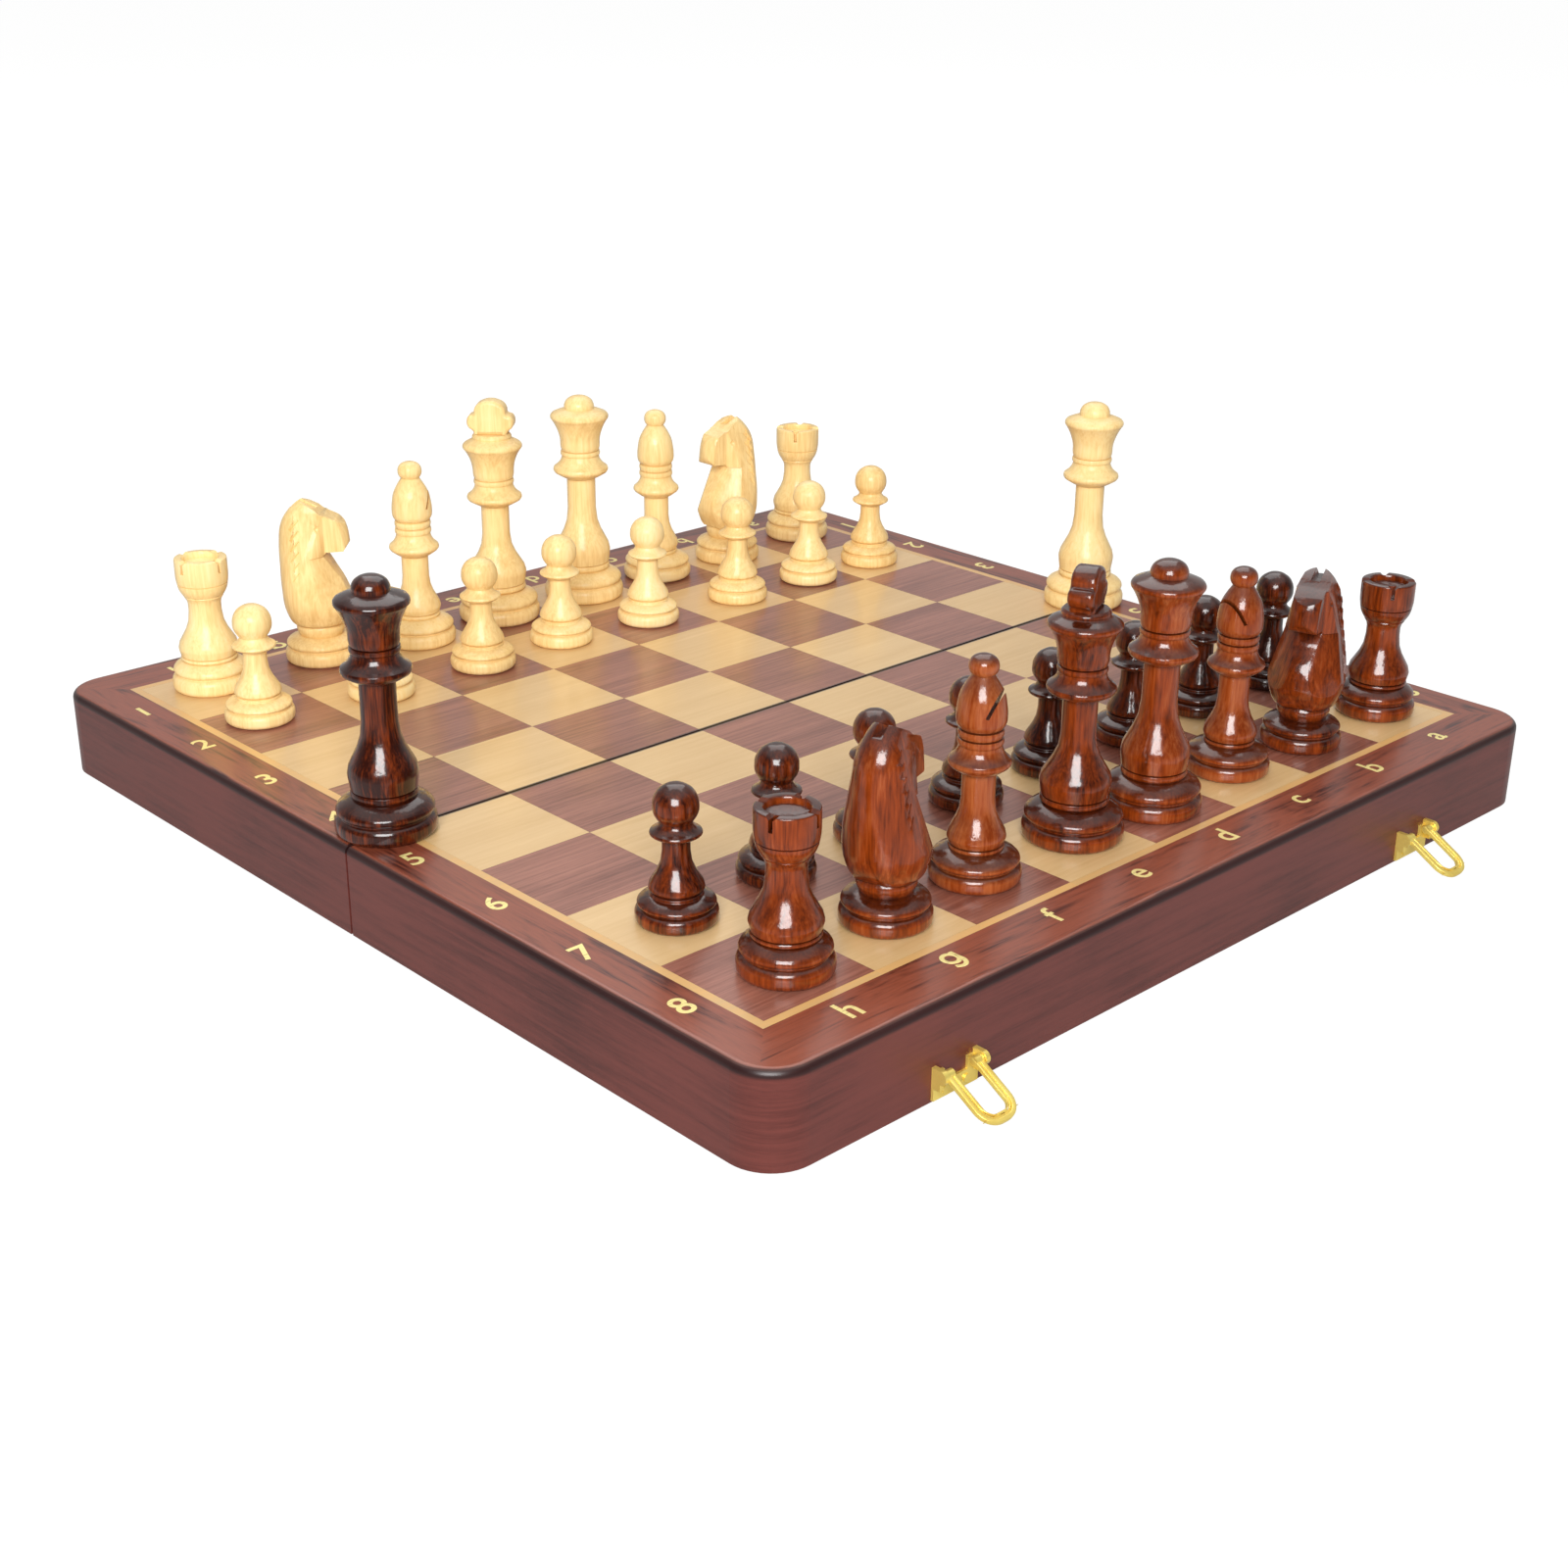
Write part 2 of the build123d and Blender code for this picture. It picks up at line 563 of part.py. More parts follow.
# Knight: a flat-sided carved head on a turned base
KNIGHT_BASE_D = 28.2
KNIGHT_RING_H = 6.0
KNIGHT_SHOULDER_H = 11.4
KNIGHT_WAIST_D = 16.6
KNIGHT_COLLAR_D = 18.4
KNIGHT_SEAT_H = 16.0
KNIGHT_SEAT_D = 18.4
KNIGHT_BLANK_D = 28.0
KNIGHT_H = 63.4
KNIGHT_FLAT_LOW = (12.8, 21.0)
KNIGHT_FLAT_HIGH = (5.4, 50.0)
KNIGHT_TOP_HALF = 4.8
EAR_GAP = 2.2
EAR_DEPTH = 4.0
MANE_W = 1.1
MANE_DEPTH = 0.9
with BuildPart() as knight_base:
    with BuildSketch(Plane.XZ):
        with BuildLine():
            base_r = KNIGHT_BASE_D / 2
            groove_r = base_r - GROOVE
            waist_r = KNIGHT_WAIST_D / 2
            Line((0, 0), (base_r - BOTTOM_EASE, 0))
            ThreePointArc((base_r - BOTTOM_EASE, 0), (base_r, KNIGHT_RING_H / 2), (groove_r, KNIGHT_RING_H))
            turn_x = waist_r + SHOULDER_ROUND * (groove_r - waist_r)
            turn_z = KNIGHT_RING_H + SHOULDER_ROUND * (KNIGHT_SHOULDER_H - KNIGHT_RING_H)
            ThreePointArc((groove_r, KNIGHT_RING_H), (turn_x, turn_z), (waist_r, KNIGHT_SHOULDER_H))
            collar_side = (KNIGHT_COLLAR_D / 2, (KNIGHT_SHOULDER_H + KNIGHT_SEAT_H) / 2)
            ThreePointArc((waist_r, KNIGHT_SHOULDER_H), collar_side, (waist_r, KNIGHT_SEAT_H))
            close_edge((waist_r, KNIGHT_SEAT_H))
        make_face()
    revolve(axis=Axis.Z)
FLAT_LEAN = Vector(0, KNIGHT_FLAT_HIGH[1] - KNIGHT_FLAT_LOW[1], KNIGHT_FLAT_LOW[0] - KNIGHT_FLAT_HIGH[0])
with BuildPart() as knight_head:
    with BuildSketch(Plane.XZ):
        with BuildLine():
            Line((-KNIGHT_SEAT_D / 2, KNIGHT_SEAT_H), (-12.4, 19.5))
            Spline((-12.4, 19.5), (-13.6, 37.0), (-13.3, 50.0), (-9.6, 58.2), (-3.4, KNIGHT_H))
            Line((-3.4, KNIGHT_H), (2.6, 60.6))
            Line((2.6, 60.6), (3.6, 58.8))
            Line((3.6, 58.8), (9.6, 56.0))
            ThreePointArc((9.6, 56.0), (13.4, 51.6), (13.6, 46.0))
            ThreePointArc((13.6, 46.0), (11.8, 44.2), (9.2, 43.7))
            Line((9.2, 43.7), (6.0, 42.6))
            Line((6.0, 42.6), (5.2, 40.8))
            Line((5.2, 40.8), (11.4, 31.6))
            ThreePointArc((11.4, 31.6), (13.1, 23.4), (KNIGHT_SEAT_D / 2, KNIGHT_SEAT_H))
            Line((KNIGHT_SEAT_D / 2, KNIGHT_SEAT_H), (-KNIGHT_SEAT_D / 2, KNIGHT_SEAT_H))
        make_face()
    extrude(amount=KNIGHT_BLANK_D, both=True)
    with BuildSketch(Plane.YZ) as front:
        with BuildLine():
            Polyline(
                (-KNIGHT_SEAT_D / 2, KNIGHT_SEAT_H),
                (-KNIGHT_FLAT_LOW[0], KNIGHT_FLAT_LOW[1]),
                (-KNIGHT_FLAT_HIGH[0], KNIGHT_FLAT_HIGH[1]),
                (-KNIGHT_TOP_HALF, KNIGHT_H + 1),
                (KNIGHT_TOP_HALF, KNIGHT_H + 1),
                KNIGHT_FLAT_HIGH,
                KNIGHT_FLAT_LOW,
                (KNIGHT_SEAT_D / 2, KNIGHT_SEAT_H),
                close=True,
            )
        make_face()
    extrude(front.sketch, amount=KNIGHT_BLANK_D, both=True, mode=Mode.INTERSECT)
    with BuildSketch(Plane.XZ) as blank:
        with BuildLine():
            Polyline(
                (0, KNIGHT_SEAT_H),
                (KNIGHT_SEAT_D / 2, KNIGHT_SEAT_H),
                (KNIGHT_BLANK_D / 2 - 0.6, KNIGHT_FLAT_LOW[1]),
                (KNIGHT_BLANK_D / 2, KNIGHT_FLAT_HIGH[1] / 2),
                (KNIGHT_BLANK_D / 2, KNIGHT_H + 1),
                (0, KNIGHT_H + 1),
                close=True,
            )
        make_face()
    revolve(blank.sketch, axis=Axis.Z, mode=Mode.INTERSECT)
    with Locations((0, 0, KNIGHT_H)):
        Box(KNIGHT_BLANK_D, EAR_GAP, 2 * EAR_DEPTH, mode=Mode.SUBTRACT)
    for hand in (-1, 1):
        flat = Plane(
            origin=(0, hand * KNIGHT_FLAT_LOW[0], KNIGHT_FLAT_LOW[1]),
            x_dir=(1, 0, 0),
            z_dir=(0, hand * FLAT_LEAN.Y, FLAT_LEAN.Z),
        )
        with BuildSketch(flat) as mane:
            mane_line = ThreePointArc(
                (-3.0, 6.0 * hand), (-7.6, -16.0 * hand), (-3.4, -40.0 * hand), mode=Mode.PRIVATE
            )
            SlotArc(mane_line, MANE_W)
        extrude(mane.sketch, amount=MANE_DEPTH, both=True, mode=Mode.SUBTRACT)
knight = Compound([knight_base.part.solid(), knight_head.part.solid()])

# Where each piece stands: file and rank of its square, its offset from the square's centre and its turn
BACK_ROW = "rook knight bishop queen king bishop knight rook".split()
SHAPES = {"rook": rook.part, "bishop": bishop.part, "queen": queen.part, "king": king, "knight": knight}
BLACK_BACK = {
    "h": (3.0, -4.2, 18),
    "g": (3.4, -1.3, 15),
    "f": (2.1, 0.8, -64),
    "e": (6.0, 0.8, 24),
    "d": (0.5, -2.1, 0),
    "c": (3.0, 0.4, 166),
    "b": (0.4, -2.1, 198),
    "a": (4.6, -2.5, 42),
}
BLACK_PAWNS = {
    "h": (1.3, -2.1),
    "g": (1.0, 0.5),
    "f": (0.6, 0.8),
    "e": (2.0, 0.4),
    "d": (1.0, 0.6),
    "c": (1.6, -0.6),
    "b": (0.8, 0.4),
    "a": (1.4, 0.2),
}
WHITE_BACK = {
    "h": (0.4, 6.9, 15),
    "g": (5.5, 6.0, -43),
    "f": (2.6, -1.4, -14),
    "e": (1.5, 1.4, -46),
    "d": (2.8, 1.0, 0),
    "c": (1.3, 1.7, 50),
    "b": (-1.3, 0.8, 180),
    "a": (3.5, 5.4, 40),
}
WHITE_PAWNS = {
    "h": (-4.2, 7.6),
    "g": (0.0, 0.0),
    "f": (3.8, 0.0),
    "e": (1.7, 3.0),
    "d": (1.3, -0.4),
    "c": (5.5, -3.0),
    "b": (3.4, -4.2),
    "a": (-1.3, -3.8),
}
SPARE_INSET = 17.2
SPARE_Y = 2.4


def stand(name, shape, x, y, turn):
    """Stand one piece on the board."""
    save(shape.moved(Location((x, y, TOP_Z), (0, 0, turn))), name)


def square_x(letter):
    """The middle of a file."""
    return FIELD_W / 2 - ("abcdefgh".index(letter) + 0.5) * SQUARE


SIDES = (("white", 1, WHITE_BACK, WHITE_PAWNS), ("black", -1, BLACK_BACK, BLACK_PAWNS))
for colour, side, back, pawns in SIDES:
    back_y = side * (FOLD_Y + (RANKS - 0.5) * SQUARE)
    pawn_y = side * (FOLD_Y + (RANKS - 1.5) * SQUARE)
    for letter, kind in zip("abcdefgh", BACK_ROW):
        dx, dy, turn = back[letter]
        piece_name = f"{colour}_{kind}" if kind in ("king", "queen") else f"{colour}_{kind}_{letter}"
        stand(piece_name, SHAPES[kind], square_x(letter) + dx, back_y + dy, turn)
        dx, dy = pawns[letter]
        stand(f"{colour}_pawn_{letter}", pawn.part, square_x(letter) + dx, pawn_y + dy, 0)
    stand(f"{colour}_spare_queen", queen.part, side * (BOARD_W / 2 - SPARE_INSET), SPARE_Y, 0)
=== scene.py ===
"""Folding wooden chess set: finishes for the board and its brass, turned and carved men, a plain stage."""

import json
import math

import bmesh
import bpy
from mathutils import Matrix, Vector


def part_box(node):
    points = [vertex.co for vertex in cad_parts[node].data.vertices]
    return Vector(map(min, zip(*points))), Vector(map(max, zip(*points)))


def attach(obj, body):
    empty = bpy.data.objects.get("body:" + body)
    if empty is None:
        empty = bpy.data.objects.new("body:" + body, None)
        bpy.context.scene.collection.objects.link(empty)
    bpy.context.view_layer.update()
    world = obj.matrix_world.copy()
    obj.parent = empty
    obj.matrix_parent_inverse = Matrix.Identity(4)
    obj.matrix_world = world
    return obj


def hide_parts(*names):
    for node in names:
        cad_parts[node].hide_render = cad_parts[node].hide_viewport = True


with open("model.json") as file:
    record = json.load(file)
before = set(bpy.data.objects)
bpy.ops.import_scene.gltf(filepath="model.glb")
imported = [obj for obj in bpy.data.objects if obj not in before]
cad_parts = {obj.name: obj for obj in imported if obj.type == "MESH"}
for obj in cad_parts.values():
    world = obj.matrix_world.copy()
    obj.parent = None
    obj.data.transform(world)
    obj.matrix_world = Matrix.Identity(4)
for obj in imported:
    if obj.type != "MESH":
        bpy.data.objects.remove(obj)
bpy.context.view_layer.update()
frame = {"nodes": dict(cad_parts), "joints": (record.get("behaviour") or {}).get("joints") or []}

bl_info = {
    "name": "Folding chess set",
    "version": (1, 0, 0),
    "blender": (4, 5, 0),
    "location": "View3D > Sidebar > Chess set",
    "description": "Builds the looks of a folding wooden chess set on its packed model",
    "category": "Object",
}

MM = 0.001
NODES = frame["nodes"]
FIELD_LOW, FIELD_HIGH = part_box("white_half_light_squares")
BOARD_TOP = FIELD_HIGH.z
SQUARE = (FIELD_HIGH.x - FIELD_LOW.x) / 8
FOLD_HALF_GAP = FIELD_LOW.y
BORDER_X, BORDER_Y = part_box("white_half_inlay_line")[1].xy
COORDINATE_INSET = 7.6 * MM
# Colour of the painted shade along the board's top edges and beside the fold
EDGE_SHADE_COLOUR = "1d1112"

# Points closer than this are one point, and edges sharper than this stay sharp
WELD = 0.002 * MM
SHARP = math.radians(34)

# The level direction from the board towards the camera
CAMERA_SIDE = (-0.69, -0.724, 0)

# The bail's outline in millimetres, and how far it hangs below level
BAIL_WIDTH, BAIL_LENGTH, BAIL_TIP_R = 14.8, 19.4, 6.1
BAIL_DROOP = math.radians(30)

# Length of the holds of a quarter circle, in radii
CIRCLE_HOLD = 0.5523

# How many knots of a foot lie below its bead
KNOTS_BELOW_BEAD = 13

# Each man: its kind, its turn on the square in degrees and how light its wood is, from 0 to 1
MEN = {
    "white_rook_a": ("rook", 40, 0.5),
    "white_knight_b": ("knight", 180, 0.4),
    "white_bishop_c": ("bishop", 50, 0.6),
    "white_queen": ("queen", 0, 0.5),
    "white_king": ("king", -46, 0.45),
    "white_bishop_f": ("bishop", -14, 0.55),
    "white_knight_g": ("knight", -43, 0.35),
    "white_rook_h": ("rook", 15, 0.6),
    "white_spare_queen": ("queen", 0, 0.55),
    "black_rook_a": ("rook", 42, 0.42),
    "black_knight_b": ("knight", 198, 0.4),
    "black_bishop_c": ("bishop", 166, 0.74),
    "black_queen": ("queen", 0, 0.56),
    "black_king": ("king", 24, 0.38),
    "black_bishop_f": ("bishop", -64, 0.82),
    "black_knight_g": ("knight", 15, 0.45),
    "black_rook_h": ("rook", 18, 0.46),
    "black_spare_queen": ("queen", 0, 0.08),
}
for number, letter in enumerate("abcdefgh"):
    MEN[f"white_pawn_{letter}"] = ("pawn", 40 * number, 0.3 + 0.06 * (number * 5 % 8))
    MEN[f"black_pawn_{letter}"] = ("pawn", 70 * number, 0.05 + 0.04 * (number * 3 % 8))

# Each side's wood: its colours' name, its material's name, how it is lacquered and how much painted shade
# falls on its upward faces
WOODS = {
    "white": (
        "boxwood",
        "Lacquered boxwood",
        {"ring_mm": 2.6, "coat": 0.35, "coat_rough": 0.2, "rough": 0.36, "top_shade": 0.1},
    ),
    "black": (
        "sheesham",
        "Stained sheesham under gloss lacquer",
        {"ring_mm": 2.2, "coat": 1.0, "coat_rough": 0.14, "rough": 0.3, "top_shade": 0.8},
    ),
}


def linear(code):
    """Turn an sRGB hex colour into linear red, green and blue."""
    parts = [int(code[i : i + 2], 16) / 255 for i in (0, 2, 4)]
    return tuple(c / 12.92 if c <= 0.04045 else ((c + 0.055) / 1.055) ** 2.4 for c in parts)


def colour(name, description, code):
    """A colour that a user can change."""
    return bpy.props.FloatVectorProperty(
        name=name, description=description, default=linear(code), subtype="COLOR", min=0, max=1
    )


class BoardFinish(bpy.types.PropertyGroup):
    """Woods and lettering of the board."""

    maple: colour("Light squares", "Maple veneer of the light squares", "e2c08c")
    maple_line: colour("Light grain", "Darker growth lines in the maple", "d2ac74")
    sapele: colour("Dark squares", "Sapele veneer of the dark squares", "a56b59")
    sapele_line: colour("Dark grain", "Pores and darker growth lines in the sapele", "6c3a2c")
    rosewood: colour("Border", "Rosewood veneer of the border", "86442f")
    rosewood_line: colour("Border figure", "Dark figure in the rosewood", "3d140d")
    stringing: colour("Inlay line", "Pale stringing round the field", "e3b06a")
    stain: colour("Rails", "Red stain of the box sides", "64302a")
    stain_dark: colour("Rail grain", "Where the stain sank deeper", "461f1b")
    foil: colour("Coordinates", "Gold foil of the letters and numbers", "f7e698")
    glyph_height: bpy.props.FloatProperty(
        name="Glyph height", description="Height of a number", default=9.2 * MM, unit="LENGTH", min=0.001
    )


class MenFinish(bpy.types.PropertyGroup):
    """Woods and turning of the men."""

    boxwood: colour("Light men", "Boxwood of the light men", "fadb9a")
    boxwood_light: colour("Light men's bright grain", "Palest boxwood", "fce8b6")
    boxwood_line: colour("Light men's grain", "Growth lines in the boxwood", "e6bd78")
    sheesham: colour("Dark men", "Stained sheesham of the dark men", "84350b")
    sheesham_light: colour("Dark men's bright grain", "Where the stain took least", "ad6034")
    sheesham_line: colour("Dark men's grain", "Dark growth lines in the sheesham", "2a0a03")
    turning_steps: bpy.props.IntProperty(
        name="Turning steps", description="Facets round a turned man", default=72, min=24, max=160
    )
    resolution: bpy.props.IntProperty(
        name="Profile resolution", description="Points along a profile's curves", default=5, min=2, max=12
    )


class BrassFinish(bpy.types.PropertyGroup):
    """Hinges, latches and nails."""

    brass: colour("Brass", "Polished yellow brass", "fbe27a")
    brass_dull: colour("Handled brass", "Slightly dulled brass", "eecb5e")
    edge: bpy.props.FloatProperty(
        name="Edge rounding", description="Rounding of the bails", default=0.3 * MM, unit="LENGTH", min=0
    )


class StageFinish(bpy.types.PropertyGroup):
    """Floor, lamps and camera."""

    floor: colour("Floor", "Pale floor", "d2d2d0")
    lens: bpy.props.FloatProperty(
        name="Lens", description="Focal length on a 36 mm frame", default=49.733, unit="CAMERA", min=10
    )
    softbox: bpy.props.FloatProperty(
        name="Softbox", description="Power of the softbox above the camera", default=33.0, unit="POWER", min=0
    )
    overhead: bpy.props.FloatProperty(
        name="Overhead", description="Power of the large light overhead", default=26.0, unit="POWER", min=0
    )
    fill: bpy.props.FloatProperty(
        name="Fill", description="Strength of the light from all round", default=0.33, min=0, max=2
    )


def node(tree, kind, inputs=None, stops=None, **settings):
    """Add one shader node, set its properties and its ramp, and set or link its inputs."""
    made = tree.nodes.new("ShaderNode" + kind)
    for name, value in settings.items():
        setattr(made, name, value)
    for place, (position, shade) in enumerate(stops or ()):
        ramp = made.color_ramp.elements
        stop = ramp[place] if place < 2 else ramp.new(position)
        stop.position = position
        stop.color = (*shade, 1)
    for key, value in (inputs or {}).items():
        if isinstance(value, bpy.types.NodeSocket):
            tree.links.new(value, made.inputs[key])
        else:
            made.inputs[key].default_value = value
    return made


def maths(tree, operation, *values):
    """The result of a sum on one, two or three values."""
    return node(tree, "Math", dict(enumerate(values)), operation=operation).outputs[0]


def summed(tree, total, *parts):
    """Add weighted values to a first one."""
    for value, weight in parts:
        total = maths(tree, "MULTIPLY_ADD", value, weight, total)
    return total


def vectors(tree, operation, first, second):
    """The result of a sum on two vectors."""
    return node(tree, "VectorMath", {0: first, 1: second}, operation=operation).outputs[0]


def scaled(tree, vector, factor):
    """A vector times a number."""
    return node(tree, "VectorMath", {0: vector, 3: factor}, operation="SCALE").outputs[0]


def ranged(tree, value, low, high, first, last):
    """Carry a value from the range low to high over to the range first to last, held at its ends."""
    return node(tree, "MapRange", {0: value, 1: low, 2: high, 3: first, 4: last}).outputs[0]


def noise(tree, place, scale, detail, output="Fac", **more):
    """Noise with its own scale along each axis, in features per metre."""
    stretched = node(tree, "Mapping", {"Vector": place, "Scale": scale}).outputs[0]
    inputs = {"Vector": stretched, "Scale": 1.0, "Detail": detail, **more}
    return node(tree, "TexNoise", inputs).outputs[output]


def shaded(tree, value, factor, stops):
    """Colours along a value, which a factor brings into the ramp's range."""
    return node(tree, "ValToRGB", {0: maths(tree, "MULTIPLY", value, factor)}, stops=stops).outputs[0]


def bump(tree, height, strength, depth_mm):
    """Small relief from a height."""
    inputs = {"Strength": strength, "Distance": depth_mm * MM, "Height": height}
    return node(tree, "Bump", inputs).outputs[0]


def lighter(shade, factor):
    """A brighter shade of a colour."""
    return tuple(min(1.0, factor * c) for c in shade)


def blank_material(name):
    """An empty node material, its node tree and its object coordinates."""
    material = bpy.data.materials.new(name)
    material.use_nodes = True
    tree = material.node_tree
    tree.nodes.clear()
    return material, tree, node(tree, "TexCoord").outputs["Object"]


def surfaced(material, inputs):
    """Close a material with its surface."""
    surface = node(material.node_tree, "BsdfPrincipled", inputs).outputs[0]
    node(material.node_tree, "OutputMaterial", {0: surface})
    return material


def give(names, material):
    """Put a material on CAD pieces."""
    for name in names:
        NODES[name].data.materials.clear()
        NODES[name].data.materials.append(material)


def painted_edge(tree, wood):
    """Painted shade: darken a wood just under the top, where it rounds over, is sawn or meets the fold."""
    shade_low, shade_full = BOARD_TOP - 3.2 * MM, BOARD_TOP - 2.2 * MM
    fold_full, fold_end = FOLD_HALF_GAP + 0.45 * MM, FOLD_HALF_GAP + 0.8 * MM
    place = node(tree, "TexCoord").outputs
    parts = node(tree, "SeparateXYZ", {0: place["Object"]}).outputs
    tilt = node(tree, "SeparateXYZ", {0: place["Normal"]}).outputs["Z"]
    near_top = ranged(tree, parts["Z"], shade_low, shade_full, 0.0, 1.0)
    turned = ranged(tree, tilt, 0.98, 0.86, 0.0, 0.85)
    at_fold = ranged(tree, maths(tree, "ABSOLUTE", parts["Y"]), fold_full, fold_end, 0.9, 0.0)
    # The painted shade covers the round-over and sawn faces near the top, and the top beside the fold
    share = maths(tree, "MULTIPLY", near_top, maths(tree, "MAXIMUM", turned, at_fold))
    edge_shade = (*linear(EDGE_SHADE_COLOUR), 1)
    return node(tree, "Mix", {0: share, 6: wood, 7: edge_shade}, data_type="RGBA").outputs[2]


def square_veneer(name, base, line, grain_mm, contrast, gloss):
    """Veneer laid square by square: each is its own cut of the log, so tone and grain jump at the joints."""
    # Middle and top of the figure's range
    middle, top = 1.03, 1.9
    material, tree, place = blank_material(name)
    parts = node(tree, "SeparateXYZ", {0: place}).outputs
    along = summed(tree, parts["Y"], (maths(tree, "SIGN", parts["Y"]), -FOLD_HALF_GAP))
    field = node(tree, "CombineXYZ", {0: parts["X"], 1: along}).outputs[0]
    cell = vectors(tree, "SNAP", field, (SQUARE, SQUARE, 1))
    # Chance by square: spread the cells before drawing, and shift each cut by up to 3 m
    chance = node(tree, "TexWhiteNoise", {"Vector": scaled(tree, cell, 97.0)}, noise_dimensions="3D").outputs
    moved = vectors(tree, "ADD", place, scaled(tree, chance["Color"], 3.0))
    lines = noise(tree, moved, (14, 1 / (grain_mm * MM), 14), 5.0, Roughness=0.62, Distortion=0.5)
    cloud = noise(tree, moved, (18, 95, 18), 3.0)
    pores = noise(tree, moved, (220, 3600, 220), 2.0)
    figure = summed(tree, lines, (cloud, 0.55), (pores, 0.35), (chance["Value"], 0.16))
    stops = [
        ((middle - contrast) / top, line),
        ((middle + contrast) / top, base),
        (min(1.0, (middle + 2.6 * contrast) / top), lighter(base, 1.12)),
    ]
    # Brushed lacquer over veneer: a soft clear reflection over a slightly open grain
    inputs = {
        "Base Color": painted_edge(tree, shaded(tree, figure, 1 / top, stops)),
        "Roughness": ranged(tree, cloud, 0.0, 1.0, gloss - 0.04, gloss + 0.06),
        "Normal": bump(tree, lines, 0.06, 0.05),
        "Specular IOR Level": 0.5,
        "Coat Weight": 0.5,
        "Coat Roughness": 0.16,
    }
    return surfaced(material, inputs)


def border_veneer(name, base, line):
    """Rosewood border: long dark figure that follows each edge of the board and turns at the corners."""
    material, tree, place = blank_material(name)
    parts = node(tree, "SeparateXYZ", {0: place}).outputs
    past_x = maths(tree, "SUBTRACT", maths(tree, "ABSOLUTE", parts["X"]), BORDER_X)
    past_y = maths(tree, "SUBTRACT", maths(tree, "ABSOLUTE", parts["Y"]), BORDER_Y)
    on_side = maths(tree, "GREATER_THAN", past_x, past_y)
    turned = node(tree, "CombineXYZ", {0: parts["Y"], 1: parts["X"], 2: on_side}).outputs[0]
    run = node(tree, "Mix", {0: on_side, 4: place, 5: turned}, data_type="VECTOR").outputs[1]
    # Growth bands 3 to 8 mm apart that wander along the board
    wander = noise(tree, run, (16, 130, 16), 4.0, Roughness=0.6, Distortion=1.1)
    wave = maths(tree, "PINGPONG", maths(tree, "MULTIPLY", wander, 5.5), 1.0)
    streak = noise(tree, run, (30, 900, 30), 5.0, Roughness=0.65)
    pores = noise(tree, run, (180, 3200, 180), 2.0)
    figure = summed(tree, streak, (wave, 0.42), (pores, 0.3))
    between = tuple(0.35 * a + 0.65 * b for a, b in zip(line, base))
    stops = [(0.36, line), (0.47, between), (0.58, base), (0.72, lighter(base, 1.18))]
    inputs = {
        "Base Color": painted_edge(tree, shaded(tree, figure, 0.62, stops)),
        "Roughness": ranged(tree, streak, 0.0, 1.0, 0.26, 0.38),
        "Normal": bump(tree, streak, 0.06, 0.05),
        "Coat Weight": 0.3,
        "Coat Roughness": 0.16,
    }
    return surfaced(material, inputs)


def stained_rail(name, base, dark):
    """Red-stained mahogany under satin lacquer: level grain, darker where the stain sank in."""
    material, tree, place = blank_material(name)
    grain = noise(tree, place, (22, 22, 520), 5.0, Roughness=0.6, Distortion=0.4)
    broad = noise(tree, place, (16, 16, 16), 3.0)
    pores = noise(tree, place, (260, 260, 3000), 2.0)
    figure = summed(tree, grain, (broad, 0.9), (pores, 0.3))
    stops = [(0.34, dark), (0.52, base), (0.7, lighter(base, 1.2))]
    inputs = {
        "Base Color": painted_edge(tree, shaded(tree, figure, 0.45, stops)),
        "Roughness": ranged(tree, broad, 0.0, 1.0, 0.28, 0.42),
        "Normal": bump(tree, grain, 0.08, 0.06),
        "Specular IOR Level": 0.42,
    }
    return surfaced(material, inputs)


